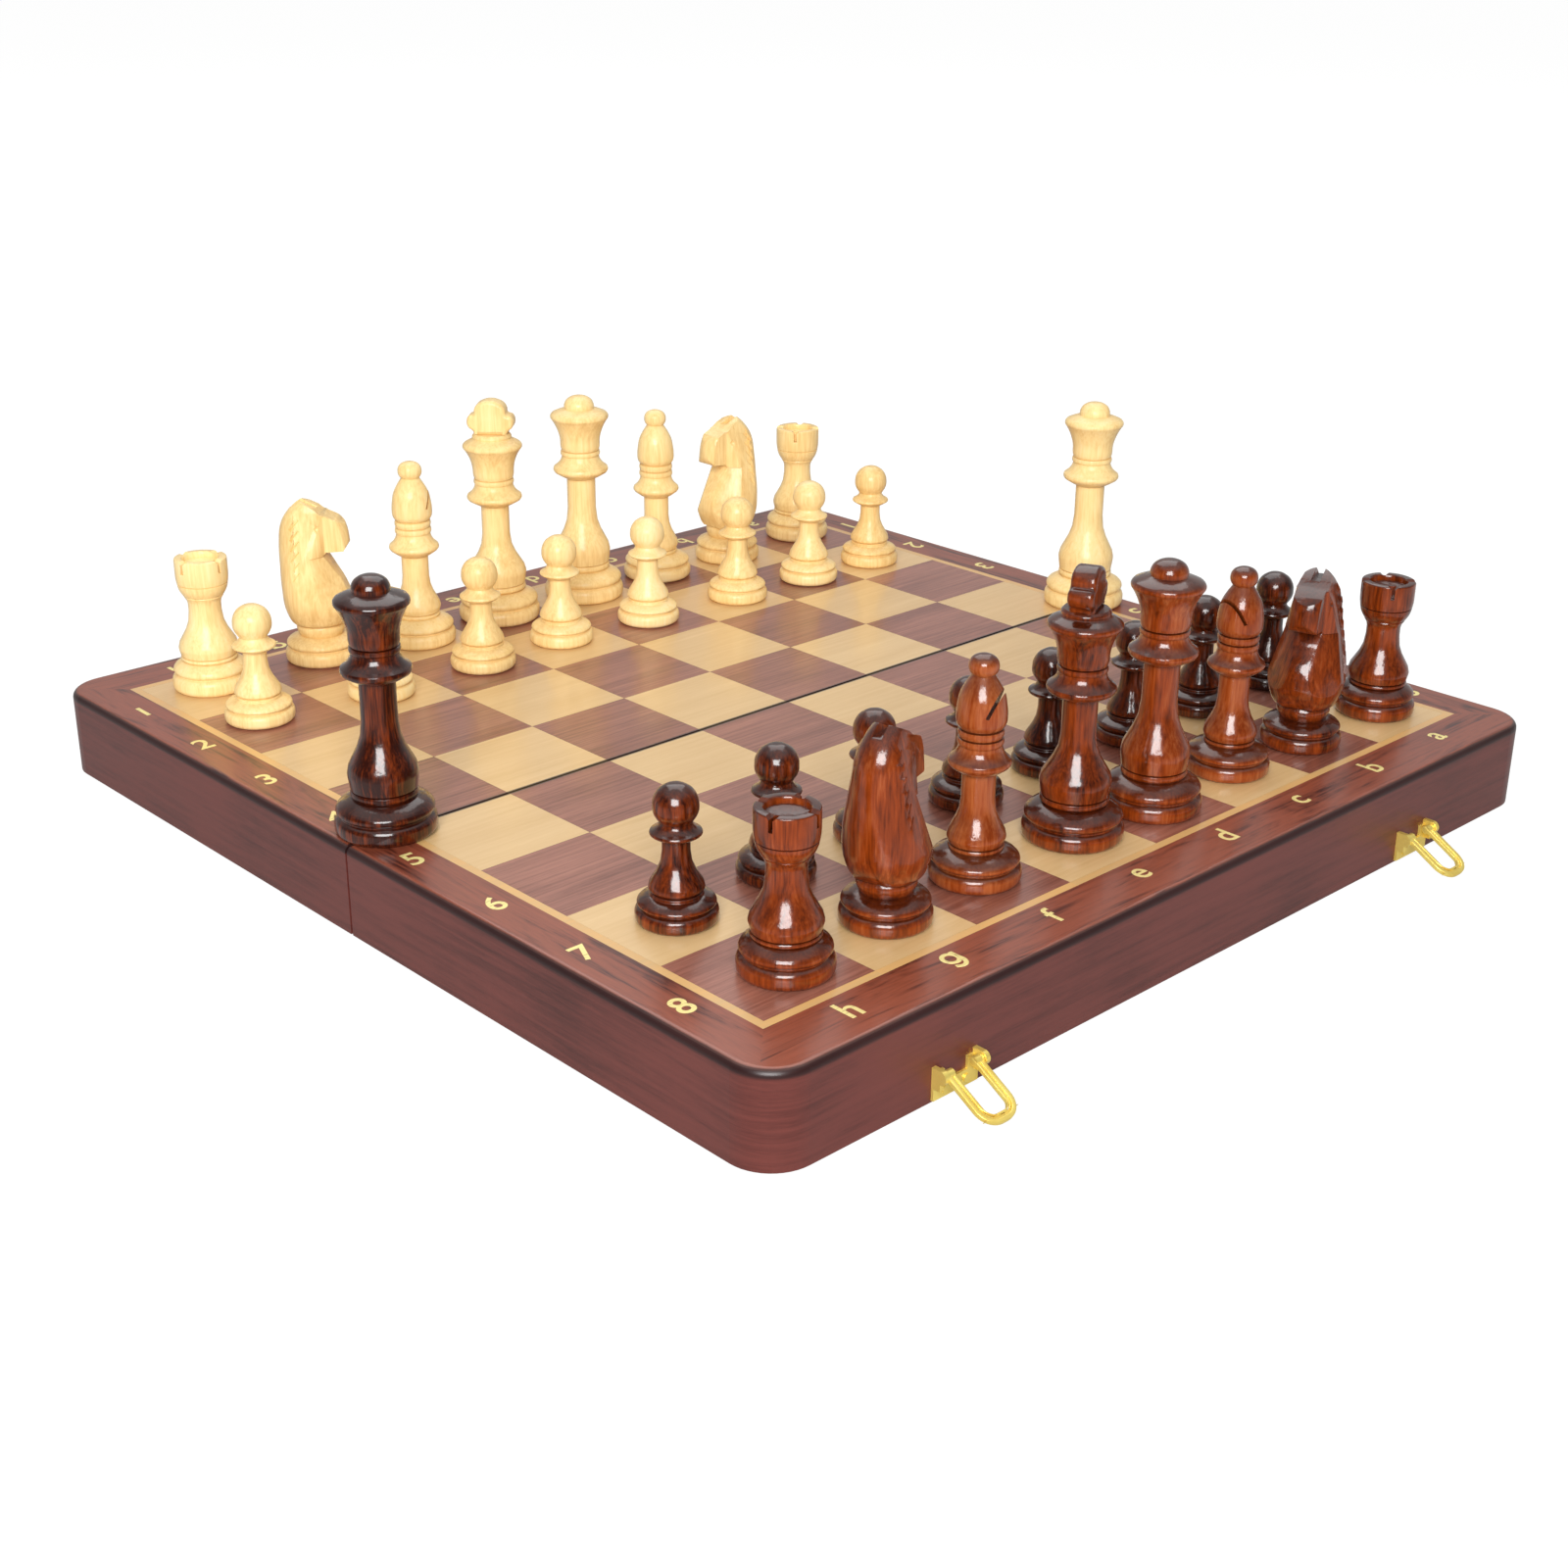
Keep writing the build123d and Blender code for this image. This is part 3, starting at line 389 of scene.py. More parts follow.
def turned_wood(name, shades, ring_mm, coat, coat_rough, rough, top_shade):
    """Wood turned from an upright billet: rings on top, long lines down the sides, painted shade in the
    grooves and on what faces up.
    """
    line, base, light = shades
    material, tree, place = blank_material(name)
    tone = node(tree, "Attribute", attribute_name="tone").outputs["Fac"]
    sway = noise(tree, place, (60, 60, 9), 3.0, "Color")
    wood = vectors(tree, "ADD", place, scaled(tree, sway, 9 * MM))
    # A wave texture of scale 1 has 20 rings to the unit
    rings = node(
        tree,
        "TexWave",
        {
            "Vector": wood,
            "Scale": 1 / (ring_mm * MM * 20),
            "Distortion": 1.2,
            "Detail": 2.0,
            "Detail Scale": 1.4,
        },
        wave_type="RINGS",
        rings_direction="Z",
        wave_profile="SIN",
    ).outputs["Fac"]
    fibres = noise(tree, wood, (1100, 1100, 60), 3.0, Roughness=0.6)
    mottle = noise(tree, wood, (260, 260, 75), 2.0)
    figure = summed(tree, fibres, (rings, 0.12), (mottle, 0.7), (tone, 0.8))
    ramp = shaded(tree, figure, 0.5, [(0.45, line), (0.69, base), (0.96, light)])
    # Painted shade: the wood darkens in the turned grooves, by ambient occlusion, and on what faces up
    open_air = node(tree, "AmbientOcclusion", {"Distance": 1.6 * MM}, samples=6, only_local=True)
    groove_shade = ranged(tree, open_air.outputs["AO"], 0.45, 0.9, 0.75, 0.0)
    tilt = node(tree, "SeparateXYZ", {0: node(tree, "TexCoord").outputs["Normal"]}).outputs["Z"]
    share = maths(tree, "MAXIMUM", groove_shade, ranged(tree, tilt, 0.1, 0.85, 0.0, top_shade))
    # The lacquer is brushed on by hand, so it lies unevenly and breaks up reflections
    sag = noise(tree, place, (420, 420, 420), 2.0)
    inputs = {
        "Base Color": node(tree, "Mix", {0: share, 6: ramp, 7: (*line, 1)}, data_type="RGBA").outputs[2],
        "Roughness": ranged(tree, fibres, 0.0, 1.0, rough - 0.06, rough + 0.08),
        "Normal": bump(tree, fibres, 0.05, 0.04),
        "Specular IOR Level": 0.1,
        "Coat Weight": coat,
        "Coat Roughness": coat_rough,
        "Coat Normal": bump(tree, sag, 0.22, 0.5),
    }
    return surfaced(material, inputs)


def polished_brass(name, bright, dull):
    """Stamped brass: bright yellow, with faint polishing lines and duller patches from handling."""
    material, tree, place = blank_material(name)
    patch = noise(tree, place, (70, 70, 70), 2.0)
    lines = noise(tree, place, (300, 4200, 4200), 2.0)
    inputs = {
        "Base Color": shaded(tree, patch, 1.0, [(0.3, dull), (0.55, bright)]),
        "Metallic": 0.62,
        "Roughness": ranged(tree, patch, 0.3, 0.7, 0.36, 0.28),
        "Normal": bump(tree, lines, 0.015, 0.02),
    }
    return surfaced(material, inputs)


def gold_foil(name, base):
    """Hot-stamped gold foil: pale satin print, thinner where the wood's grain was open."""
    material, tree, place = blank_material(name)
    grain = noise(tree, place, (300, 1400, 300), 3.0)
    worn = tuple(0.72 * c for c in base)
    inputs = {
        "Base Color": shaded(tree, grain, 1.0, [(0.32, worn), (0.46, base)]),
        "Metallic": 0.25,
        "Roughness": ranged(tree, grain, 0.0, 1.0, 0.42, 0.3),
    }
    return surfaced(material, inputs)


def shown(name, data):
    """Put an object in the scene."""
    made = bpy.data.objects.new(name, data)
    bpy.context.scene.collection.objects.link(made)
    return made


def corner(x, z):
    """A sharp knot."""
    return (x, z, ".", ".")


def smooth(x, z):
    """A smooth knot."""
    return (x, z, "~", "~")


def curved(*spots):
    """Smooth knots through spots."""
    return [smooth(*spot) for spot in spots]


def draw(curve, knots, closed):
    """Add a Bezier line through knots given in millimetres.

    A knot is (x, z, before, after); each hold is "." for a corner, "~" for a smooth curve or an offset.
    """
    kinds = {".": "VECTOR", "~": "AUTO"}
    spline = curve.splines.new("BEZIER")
    spline.bezier_points.add(len(knots) - 1)
    spline.use_cyclic_u = closed
    for point, (x, z, before, after) in zip(spline.bezier_points, knots):
        point.co = (x * MM, z * MM, 0)
        point.handle_left_type = kinds.get(before, "FREE")
        point.handle_right_type = kinds.get(after, "FREE")
    for point, (x, z, before, after) in zip(spline.bezier_points, knots):
        if not isinstance(before, str):
            point.handle_left = ((x + before[0]) * MM, (z + before[1]) * MM, 0)
        if not isinstance(after, str):
            point.handle_right = ((x + after[0]) * MM, (z + after[1]) * MM, 0)


def flat_curve(half, ease, resolution, rounding):
    """A curve whose inside is filled to a slab with rounded edges; sizes in millimetres."""
    curve = bpy.data.curves.new("slab", "CURVE")
    curve.dimensions = "2D"
    curve.fill_mode = "BOTH"
    curve.resolution_u = resolution
    curve.extrude = (half - ease) * MM
    curve.bevel_depth = ease * MM
    curve.bevel_resolution = rounding
    return curve


def mesh_of(curve):
    """Turn a curve or a text into a mesh."""
    drawn = bpy.data.objects.new("drawn", curve)
    mesh = bpy.data.meshes.new_from_object(drawn)
    bpy.data.objects.remove(drawn)
    bpy.data.curves.remove(curve)
    return mesh


def upright(mesh):
    """Stand a mesh drawn flat up in the XZ plane."""
    mesh.transform(Matrix.Rotation(math.pi / 2, 4, "X"))
    return mesh


def outline_mesh(knots, resolution, closed=False):
    """A wire through knots in the XZ plane."""
    curve = bpy.data.curves.new("outline", "CURVE")
    curve.dimensions = "3D"
    curve.resolution_u = resolution
    draw(curve, knots, closed)
    return upright(mesh_of(curve))


def mesh_from(bm, name):
    """Turn a bmesh into a mesh."""
    mesh = bpy.data.meshes.new(name)
    bm.to_mesh(mesh)
    bm.free()
    return mesh


def finished(bm, name):
    """Close a bmesh into a smooth-shaded mesh that keeps its real edges sharp."""
    bmesh.ops.remove_doubles(bm, verts=bm.verts, dist=WELD)
    bmesh.ops.recalc_face_normals(bm, faces=bm.faces)
    mesh = mesh_from(bm, name)
    mesh.shade_smooth()
    mesh.set_sharp_from_angle(angle=SHARP)
    return mesh


def turned_mesh(name, knots, finish):
    """Turn a profile on the lathe."""
    bm = bmesh.new()
    bm.from_mesh(outline_mesh(knots, finish.resolution))
    bmesh.ops.dissolve_limit(bm, angle_limit=math.radians(0.5), verts=bm.verts, edges=bm.edges)
    bmesh.ops.spin(
        bm,
        geom=bm.verts[:] + bm.edges[:],
        cent=(0, 0, 0),
        axis=(0, 0, 1),
        angle=math.tau,
        steps=finish.turning_steps,
        use_merge=True,
    )
    return finished(bm, name)


def applied(block):
    """The mesh of an object with its modifier applied; the object goes."""
    graph = bpy.context.evaluated_depsgraph_get()
    result = bpy.data.meshes.new_from_object(block.evaluated_get(graph))
    bpy.data.objects.remove(block)
    return result


def carved(mesh, tool, operation):
    """Cut one mesh with another, or keep what they share; the result has to be closed."""
    block, cutter = shown("block", mesh), shown("cutter", tool)
    cut = block.modifiers.new("cut", "BOOLEAN")
    cut.object = cutter
    cut.operation = operation
    cut.solver = "EXACT"
    result = applied(block)
    bpy.data.objects.remove(cutter)
    probe = bmesh.new()
    probe.from_mesh(result)
    whole = len(probe.faces) > 0 and all(edge.is_manifold for edge in probe.edges)
    probe.free()
    if not whole:
        raise RuntimeError("a cut left the piece open")
    return result


def in_order(mesh):
    """The same mesh with its points and faces in a fixed order, as a boolean's varies between runs."""
    spots = [tuple(point.co) for point in mesh.vertices]
    order = sorted(range(len(spots)), key=spots.__getitem__)
    rank = {old: new for new, old in enumerate(order)}
    faces = []
    for face in mesh.polygons:
        loop = [rank[point] for point in face.vertices]
        first = loop.index(min(loop))
        faces.append(loop[first:] + loop[:first])
    result = bpy.data.meshes.new("ordered")
    result.from_pydata([spots[point] for point in order], [], sorted(faces))
    return result


def eased(mesh, width, angle, segments):
    """Round over the edges of a carved mesh that are sharper than an angle."""
    block = shown("block", in_order(mesh))
    bevel = block.modifiers.new("ease", "BEVEL")
    bevel.width = width * MM
    bevel.segments = segments
    bevel.limit_method = "ANGLE"
    bevel.angle_limit = math.radians(angle)
    return applied(block)


def box_mesh(size, move):
    """A cutter block with its size in millimetres, placed by a matrix in millimetres."""
    bm = bmesh.new()
    bmesh.ops.create_cube(bm, size=1)
    bmesh.ops.scale(bm, vec=size, verts=bm.verts)
    bmesh.ops.transform(bm, matrix=Matrix.Scale(MM, 4) @ move, verts=bm.verts)
    return mesh_from(bm, "cutter")


def slab_mesh(knots, half, resolution):
    """A board sawn to an outline in the XZ plane, its thickness centred on it."""
    bm = bmesh.new()
    bm.from_mesh(outline_mesh(knots, resolution, closed=True))
    bmesh.ops.remove_doubles(bm, verts=bm.verts, dist=WELD)
    bmesh.ops.translate(bm, vec=(0, -half * MM, 0), verts=bm.verts)
    face = bmesh.ops.contextual_create(bm, geom=bm.edges[:])["faces"]
    pushed = bmesh.ops.extrude_face_region(bm, geom=face)["geom"]
    lifted = [v for v in pushed if isinstance(v, bmesh.types.BMVert)]
    bmesh.ops.translate(bm, vec=(0, 2 * half * MM, 0), verts=lifted)
    bmesh.ops.recalc_face_normals(bm, faces=bm.faces)
    return mesh_from(bm, "slab")


def foot(base_d, ring_h, shoulder_h, waist_d, waist_h, bell_d, bell_h, stem_d, stem_h):
    """Knots of a man's foot: rounded ring, groove, second ring, cone, bead, bell and stem."""
    base, waist, bell, stem = base_d / 2, waist_d / 2, bell_d / 2, stem_d / 2
    groove, span = base - 0.9, stem_h - bell_h
    width, rise = groove - waist, shoulder_h - ring_h
    low, high = ring_h + 0.82 * rise, shoulder_h + waist_h
    return [
        corner(0, 0),
        corner(base - 1.7, 0),
        smooth(base - 0.45, 0.14 * ring_h),
        smooth(base, 0.46 * ring_h),
        smooth(base - 0.4, 0.82 * ring_h),
        corner(groove - 0.7, ring_h - 0.1),
        corner(groove - 0.75, ring_h + 0.25),
        smooth(waist + 1.03 * width, ring_h + 0.2 * rise),
        smooth(waist + 1.02 * width, ring_h + 0.36 * rise),
        corner(waist + 0.84 * width, ring_h + 0.54 * rise),
        smooth(waist + 0.45 * width, ring_h + 0.7 * rise),
        corner(waist + 0.16 * width, low),
        corner(waist - 0.1, low + 0.2),
        smooth(bell - 0.5, low + 0.35 * (high - low)),
        smooth(bell - 0.45, low + 0.65 * (high - low)),
        corner(bell - 0.65, high - 0.25),
        corner(bell - 1.2, high),
        corner(bell - 0.6, high + 0.3),
        smooth(bell - 0.15, bell_h - 0.35 * (bell_h - high)),
        (bell, bell_h, (0, -0.2 * (bell_h - high)), (0, 0.25 * span)),
        (stem, stem_h, (0, -0.55 * span), "."),
    ]


def collar(stem_d, collar_d, collar_h, neck_d, neck_h):
    """Knots of a collar: a full rounded disc on the stem, sweeping in to the neck above it."""
    stem, edge, neck = stem_d / 2, collar_d / 2, neck_d / 2
    rise = (neck_h - collar_h) / 5.4
    return [
        corner(stem, collar_h - 4.2 * rise),
        smooth(stem + 0.34 * (edge - stem), collar_h - 3.3 * rise),
        corner(edge - 0.55, collar_h - 1.5 * rise),
        smooth(edge, collar_h - 0.5 * rise),
        corner(edge - 0.2, collar_h + 0.6 * rise),
        smooth(neck + 0.42 * (edge - neck), collar_h + 2.2 * rise),
        smooth(neck + 0.1 * (edge - neck), collar_h + 4.0 * rise),
        corner(neck, neck_h),
    ]


def bead(neck_d, bead_d, low, high):
    """Knots of a bead round a neck, with a fine groove cut above it."""
    neck, edge = neck_d / 2, bead_d / 2
    return [
        smooth(edge - 0.1, low + 0.25 * (high - low)),
        smooth(edge, low + 0.5 * (high - low)),
        corner(edge - 0.15, high - 0.3),
        corner(neck - 0.35, high),
        corner(neck + 0.1, high + 0.25),
    ]


def place_man(name, mesh, material, turn, tone):
    """Stand a copy of a finished man where its CAD piece stands and let it ride on its own body."""
    low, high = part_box(name)
    copy = mesh.copy()
    copy.name = name
    spot = Vector(((low.x + high.x) / 2, (low.y + high.y) / 2, low.z))
    copy.transform(Matrix.Translation(spot) @ Matrix.Rotation(math.radians(turn), 4, "Z"))
    shade = copy.attributes.new("tone", "FLOAT", "POINT")
    shade.data.foreach_set("value", [tone] * len(copy.vertices))
    copy.materials.clear()
    copy.materials.append(material)
    man = shown(f"{name}_turned", copy)
    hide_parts(name)
    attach(man, name)


def place_kind(kind, mesh):
    """Stand every man of one kind on the board in its side's wood."""
    finish = bpy.context.scene.chess_men
    woods = {}
    for side, (wood, title, lacquer) in WOODS.items():
        shades = [getattr(finish, wood + part) for part in ("_line", "", "_light")]
        woods[side] = bpy.data.materials.get(title) or turned_wood(title, shades, **lacquer)
    for name, (made, turn, tone) in MEN.items():
        if made == kind:
            place_man(name, mesh, woods[name.split("_")[0]], turn, tone)
    bpy.data.meshes.remove(mesh)


class CHESS_OT_board(bpy.types.Operator):
    """Finish the board's veneers, stringing and rails"""

    bl_idname = "chess.board"
    bl_label = "Board woods"

    def execute(self, context):
        finish = context.scene.chess_board
        maple = square_veneer("Maple veneer", finish.maple, finish.maple_line, 2.4, 0.34, 0.36)
        sapele = square_veneer("Sapele veneer", finish.sapele, finish.sapele_line, 1.3, 0.26, 0.32)
        line = square_veneer("Maple stringing", finish.stringing, finish.maple_line, 2.0, 0.3, 0.36)
        rosewood = border_veneer("Rosewood veneer", finish.rosewood, finish.rosewood_line)
        stain = stained_rail("Red-stained mahogany", finish.stain, finish.stain_dark)
        for half in ("white_half", "black_half"):
            give([f"{half}_light_squares"], maple)
            give([f"{half}_dark_squares"], sapele)
            give([f"{half}_inlay_line"], line)
            give([f"{half}_border_veneer"], rosewood)
            give([f"{half}_{part}" for part in ("panel", "end_rail", "side_rails", "fold_rail")], stain)
        return {"FINISHED"}


class CHESS_OT_coordinates(bpy.types.Operator):
    """Stamp the letters and numbers round the field"""

    bl_idname = "chess.coordinates"
    bl_label = "Coordinates"

    def execute(self, context):
        finish = context.scene.chess_board
        foil = gold_foil("Gold foil print", finish.foil)
        side_x, end_y = BORDER_X + COORDINATE_INSET, BORDER_Y + COORDINATE_INSET
        for half, sign in (("white_half", 1), ("black_half", -1)):
            bm = bmesh.new()
            turn = 0 if sign < 0 else math.pi
            for file, letter in enumerate("hgfedcba"):
                self.stamp(bm, letter, ((file - 3.5) * SQUARE, sign * end_y), turn, finish.glyph_height)
            for rank in range(4):
                y = sign * (FOLD_HALF_GAP + (rank + 0.5) * SQUARE)
                number = str(4 - rank if sign > 0 else 5 + rank)
                self.stamp(bm, number, (-side_x, y), 0, finish.glyph_height)
                self.stamp(bm, number, (side_x, y), math.pi, finish.glyph_height)
            bmesh.ops.recalc_face_normals(bm, faces=bm.faces)
            mesh = mesh_from(bm, f"{half}_coordinates")
            mesh.materials.append(foil)
            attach(shown(f"{half}_coordinates", mesh), half)
        return {"FINISHED"}

    def single_storey_g(self, height):
        """A round g with an open tail, drawn as one thick stroke for the bowl and one for the tail."""
        curve = bpy.data.curves.new("glyph", "CURVE")
        curve.dimensions = "3D"
        curve.resolution_u = 8
        curve.bevel_depth = 0.085 * height
        curve.bevel_resolution = 3
        curve.use_fill_caps = True
        bowl = [(0.0, 0.56), (-0.27, 0.28), (0.0, 0.0), (0.27, 0.28)]
        tail = [(0.29, 0.6), (0.29, 0.3), (0.28, -0.08), (0.04, -0.28), (-0.25, -0.18)]
        for path, closed in ((bowl, True), (tail, False)):
            draw(curve, [smooth(x * height / MM, y * height / MM) for x, y in path], closed)
        return curve

    def stamp(self, bm, letter, spot, turn, height):
        """Add one glyph, centred on a point of the board and turned to its reader."""
        if letter == "g":
            # The round stroke is pressed flat
            mesh = mesh_of(self.single_storey_g(height))
            mesh.transform(Matrix.Diagonal((1, 1, 0.05, 1)))
        else:
            text = bpy.data.curves.new("glyph", "FONT")
            text.body = letter
            # A number is 0.72 of the font's size high
            text.size = height / 0.72
            text.offset = 0.17 * MM
            text.resolution_u = 6
            text.extrude = 0.03 * MM
            mesh = mesh_of(text)
        xs = [v.co.x for v in mesh.vertices]
        ys = [v.co.y for v in mesh.vertices]
        centre = Vector(((min(xs) + max(xs)) / 2, (min(ys) + max(ys)) / 2, 0))
        place = Matrix.Translation((spot[0], spot[1], BOARD_TOP)) @ Matrix.Rotation(turn, 4, "Z")
        mesh.transform(place @ Matrix.Translation(-centre))
        bm.from_mesh(mesh)
        bpy.data.meshes.remove(mesh)


class CHESS_OT_fittings(bpy.types.Operator):
    """Finish the brass and stamp the two latch bails"""

    bl_idname = "chess.fittings"
    bl_label = "Brass fittings"

    def execute(self, context):
        finish = context.scene.chess_brass
        brass = polished_brass("Polished brass", finish.brass, finish.brass_dull)
        kept = ["white_half_nails", "black_half_nails", "white_hinge_leaves", "black_hinge_leaves"]
        give(kept + ["hinge_pins", "latch_plates", "latch_keepers"], brass)
        for name in ("left", "right"):
            self.bail(name, brass, finish.edge)
        return {"FINISHED"}

    def bail(self, name, brass, edge):
        """One U-shaped bail: a stamped loop with a sunk line round it, its ends rolled round the stubs."""
        joint = next(j for j in frame["joints"] if j["name"] == f"{name}_bail_swing")
        bm = bmesh.new()
        # Outer band, sunk line and inner band: inset of each side and half the thickness
        for outer, inner, half in ((0.0, 1.7, 0.8), (1.2, 2.4, 0.45), (2.0, 3.1, 0.75)):
            self.loop(bm, outer, inner, half, edge / MM)
        # On each side a rolled end and the stub in the plate's ear: distance out, length and radius
        for hand in (-1, 1):
            for reach, length, radius in ((5.9, 3.0, 1.5), (8.3, 1.8, 0.8)):
                sizes = {"radius1": radius * MM, "radius2": radius * MM, "depth": length * MM}
                roll = bmesh.ops.create_cone(bm, cap_ends=True, segments=40, **sizes)["verts"]
                turn = Matrix.Translation((hand * reach * MM, 0, 0)) @ Matrix.Rotation(math.pi / 2, 4, "Y")
                bmesh.ops.transform(bm, matrix=turn, verts=roll)
        hung = Matrix.Translation(joint["pos_m"]) @ Matrix.Rotation(BAIL_DROOP, 4, "X")
        bmesh.ops.transform(bm, matrix=hung, verts=bm.verts)
        mesh = finished(bm, f"latch_bail_{name}")
        mesh.materials.append(brass)
        made = shown(f"latch_bail_{name}_stamped", mesh)
        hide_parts(f"latch_bail_{name}")
        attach(made, f"{name}_bail")

    def loop(self, bm, outer, inner, half, edge):
        """Add a flat U-shaped band between two insets from the bail's outline, its edges rounded."""
        side, far = BAIL_WIDTH / 2 - outer - edge, -BAIL_LENGTH + outer + edge
        hole, floor = BAIL_WIDTH / 2 - inner + edge, -BAIL_LENGTH + inner - edge
        tip_r, hole_r = BAIL_TIP_R - outer * 0.4, max(1.0, BAIL_TIP_R - inner)
        hold, hole_hold = CIRCLE_HOLD * tip_r, CIRCLE_HOLD * hole_r
        # The arms start a little behind the pivot
        start, none = 0.6, (0, 0)
        spots = [
            (-side, start, none, none),
            (-side, far + tip_r, none, (0, -hold)),
            (-side + tip_r, far, (-hold, 0), none),
            (side - tip_r, far, none, (hold, 0)),
            (side, far + tip_r, (0, -hold), none),
            (side, start, none, none),
            (hole, start, none, none),
            (hole, floor + hole_r, none, (0, -hole_hold)),
            (hole - hole_r, floor, (hole_hold, 0), none),
            (-hole + hole_r, floor, none, (-hole_hold, 0)),
            (-hole, floor + hole_r, (0, -hole_hold), none),
            (-hole, start, none, none),
        ]
        curve = flat_curve(half, edge, 10, 3)
        draw(curve, spots, True)
        mesh = mesh_of(curve)
        bm.from_mesh(mesh)
        bpy.data.meshes.remove(mesh)


class CHESS_OT_pawns(bpy.types.Operator):
    """Turn the sixteen pawns"""

    bl_idname = "chess.pawns"
    bl_label = "Pawns"

    def execute(self, context):
        knots = foot(25.0, 5.4, 9.2, 16.4, 0.8, 16.8, 11.2, 8.4, 22.6)
        knots += collar(8.4, 15.6, 28.5, 9.8, 31.6)
        knots += curved((6.55, 34.4), (6.87, 36.6), (6.2, 39.8), (4.0, 42.3))
        knots.append((0, 43.4, (2.3, 0), "."))
        place_kind("pawn", turned_mesh("pawn", knots, context.scene.chess_men))
        return {"FINISHED"}


class CHESS_OT_rooks(bpy.types.Operator):
    """Turn the four rooks and saw their slots"""

    bl_idname = "chess.rooks"
    bl_label = "Rooks"

    def execute(self, context):
        knots = foot(28.4, 6.4, 12.4, 19.6, 0.8, 21.6, 16.4, 11.9, 30.0)
        knots += [corner(5.95, 33.0), smooth(6.3, 34.4), corner(7.1, 35.8)]
        knots += [corner(7.0, 36.1), corner(7.4, 36.4), smooth(8.25, 37.8), smooth(8.85, 39.3)]
        knots += [corner(9.1, 40.6), corner(8.8, 40.85), corner(9.2, 41.1), smooth(9.45, 43.0)]
        knots += [smooth(9.5, 46.0), corner(9.5, 49.5), smooth(9.35, 50.15), corner(8.9, 50.4)]
        knots += [corner(7.0, 50.4), smooth(6.6, 50.0), corner(6.3, 48.2), smooth(4.0, 47.4)]
        knots.append((0, 47.0, (1.5, 0), "."))
        mesh = turned_mesh("rook", knots, context.scene.chess_men)
        for quarter in range(4):
            rim = Matrix.Rotation(quarter * math.pi / 2, 4, "Z") @ Matrix.Translation((9.5, 0, 50.4))
            mesh = carved(mesh, box_mesh((5.8, 1.3, 9.4), rim), "DIFFERENCE")
            notch = rim @ Matrix.Rotation(math.pi / 4, 4, "X")
            mesh = carved(mesh, box_mesh((5.8, 2.4, 2.4), notch), "DIFFERENCE")
        place_kind("rook", mesh)
        return {"FINISHED"}


class CHESS_OT_bishops(bpy.types.Operator):
    """Turn the four bishops and saw their mitres"""

    bl_idname = "chess.bishops"
    bl_label = "Bishops"

    def execute(self, context):
        knots = foot(28.8, 5.8, 11.6, 17.0, 0.8, 18.2, 14.8, 10.4, 27.0)
        knots += collar(10.4, 19.3, 39.1, 13.2, 44.2)
        knots += bead(13.2, 14.1, 44.2, 46.8) + bead(13.2, 14.0, 47.0, 49.6)
        # The mitre and the ball on it
        knots += curved((7.5, 51.2), (7.75, 53.6), (7.45, 57.0), (6.75, 60.4), (5.4, 63.2))
        knots += [corner(3.5, 66.2), *curved((4.3, 67.4), (4.6, 69.1), (4.0, 71.0), (2.4, 72.2))]
        knots.append((0, 72.6, (1.2, 0), "."))
        mesh = turned_mesh("bishop", knots, context.scene.chess_men)
        tilt = Matrix.Translation((6.4, 0, 61.8)) @ Matrix.Rotation(math.radians(22), 4, "Y")
        mesh = carved(mesh, box_mesh((1.0, 15.4, 15.4), tilt), "DIFFERENCE")
        place_kind("bishop", mesh)
        return {"FINISHED"}


class CHESS_OT_queens(bpy.types.Operator):
    """Turn the queens and the spare queens"""

    bl_idname = "chess.queens"
    bl_label = "Queens"

    def execute(self, context):
        knots = foot(32.8, 6.4, 13.4, 20.8, 1.6, 22.6, 20.6, 11.7, 38.0)
        knots += collar(11.7, 22.5, 54.9, 15.2, 60.3)
        knots += bead(15.2, 16.2, 60.3, 62.6)
        # The crown and the ball on it
        knots += [smooth(8.0, 64.0), smooth(8.2, 67.6), smooth(9.1, 70.9), smooth(10.3, 73.6)]
        knots += [corner(11.3, 75.3), smooth(11.85, 76.2), smooth(11.8, 77.1), corner(11.2, 77.9)]
        knots += [smooth(8.8, 78.9), corner(6.5, 79.6), corner(6.1, 79.8), smooth(6.0, 81.6)]
        knots += [smooth(4.4, 83.9), (0, 85.0, (2.0, 0), ".")]
        place_kind("queen", turned_mesh("queen", knots, context.scene.chess_men))
        return {"FINISHED"}


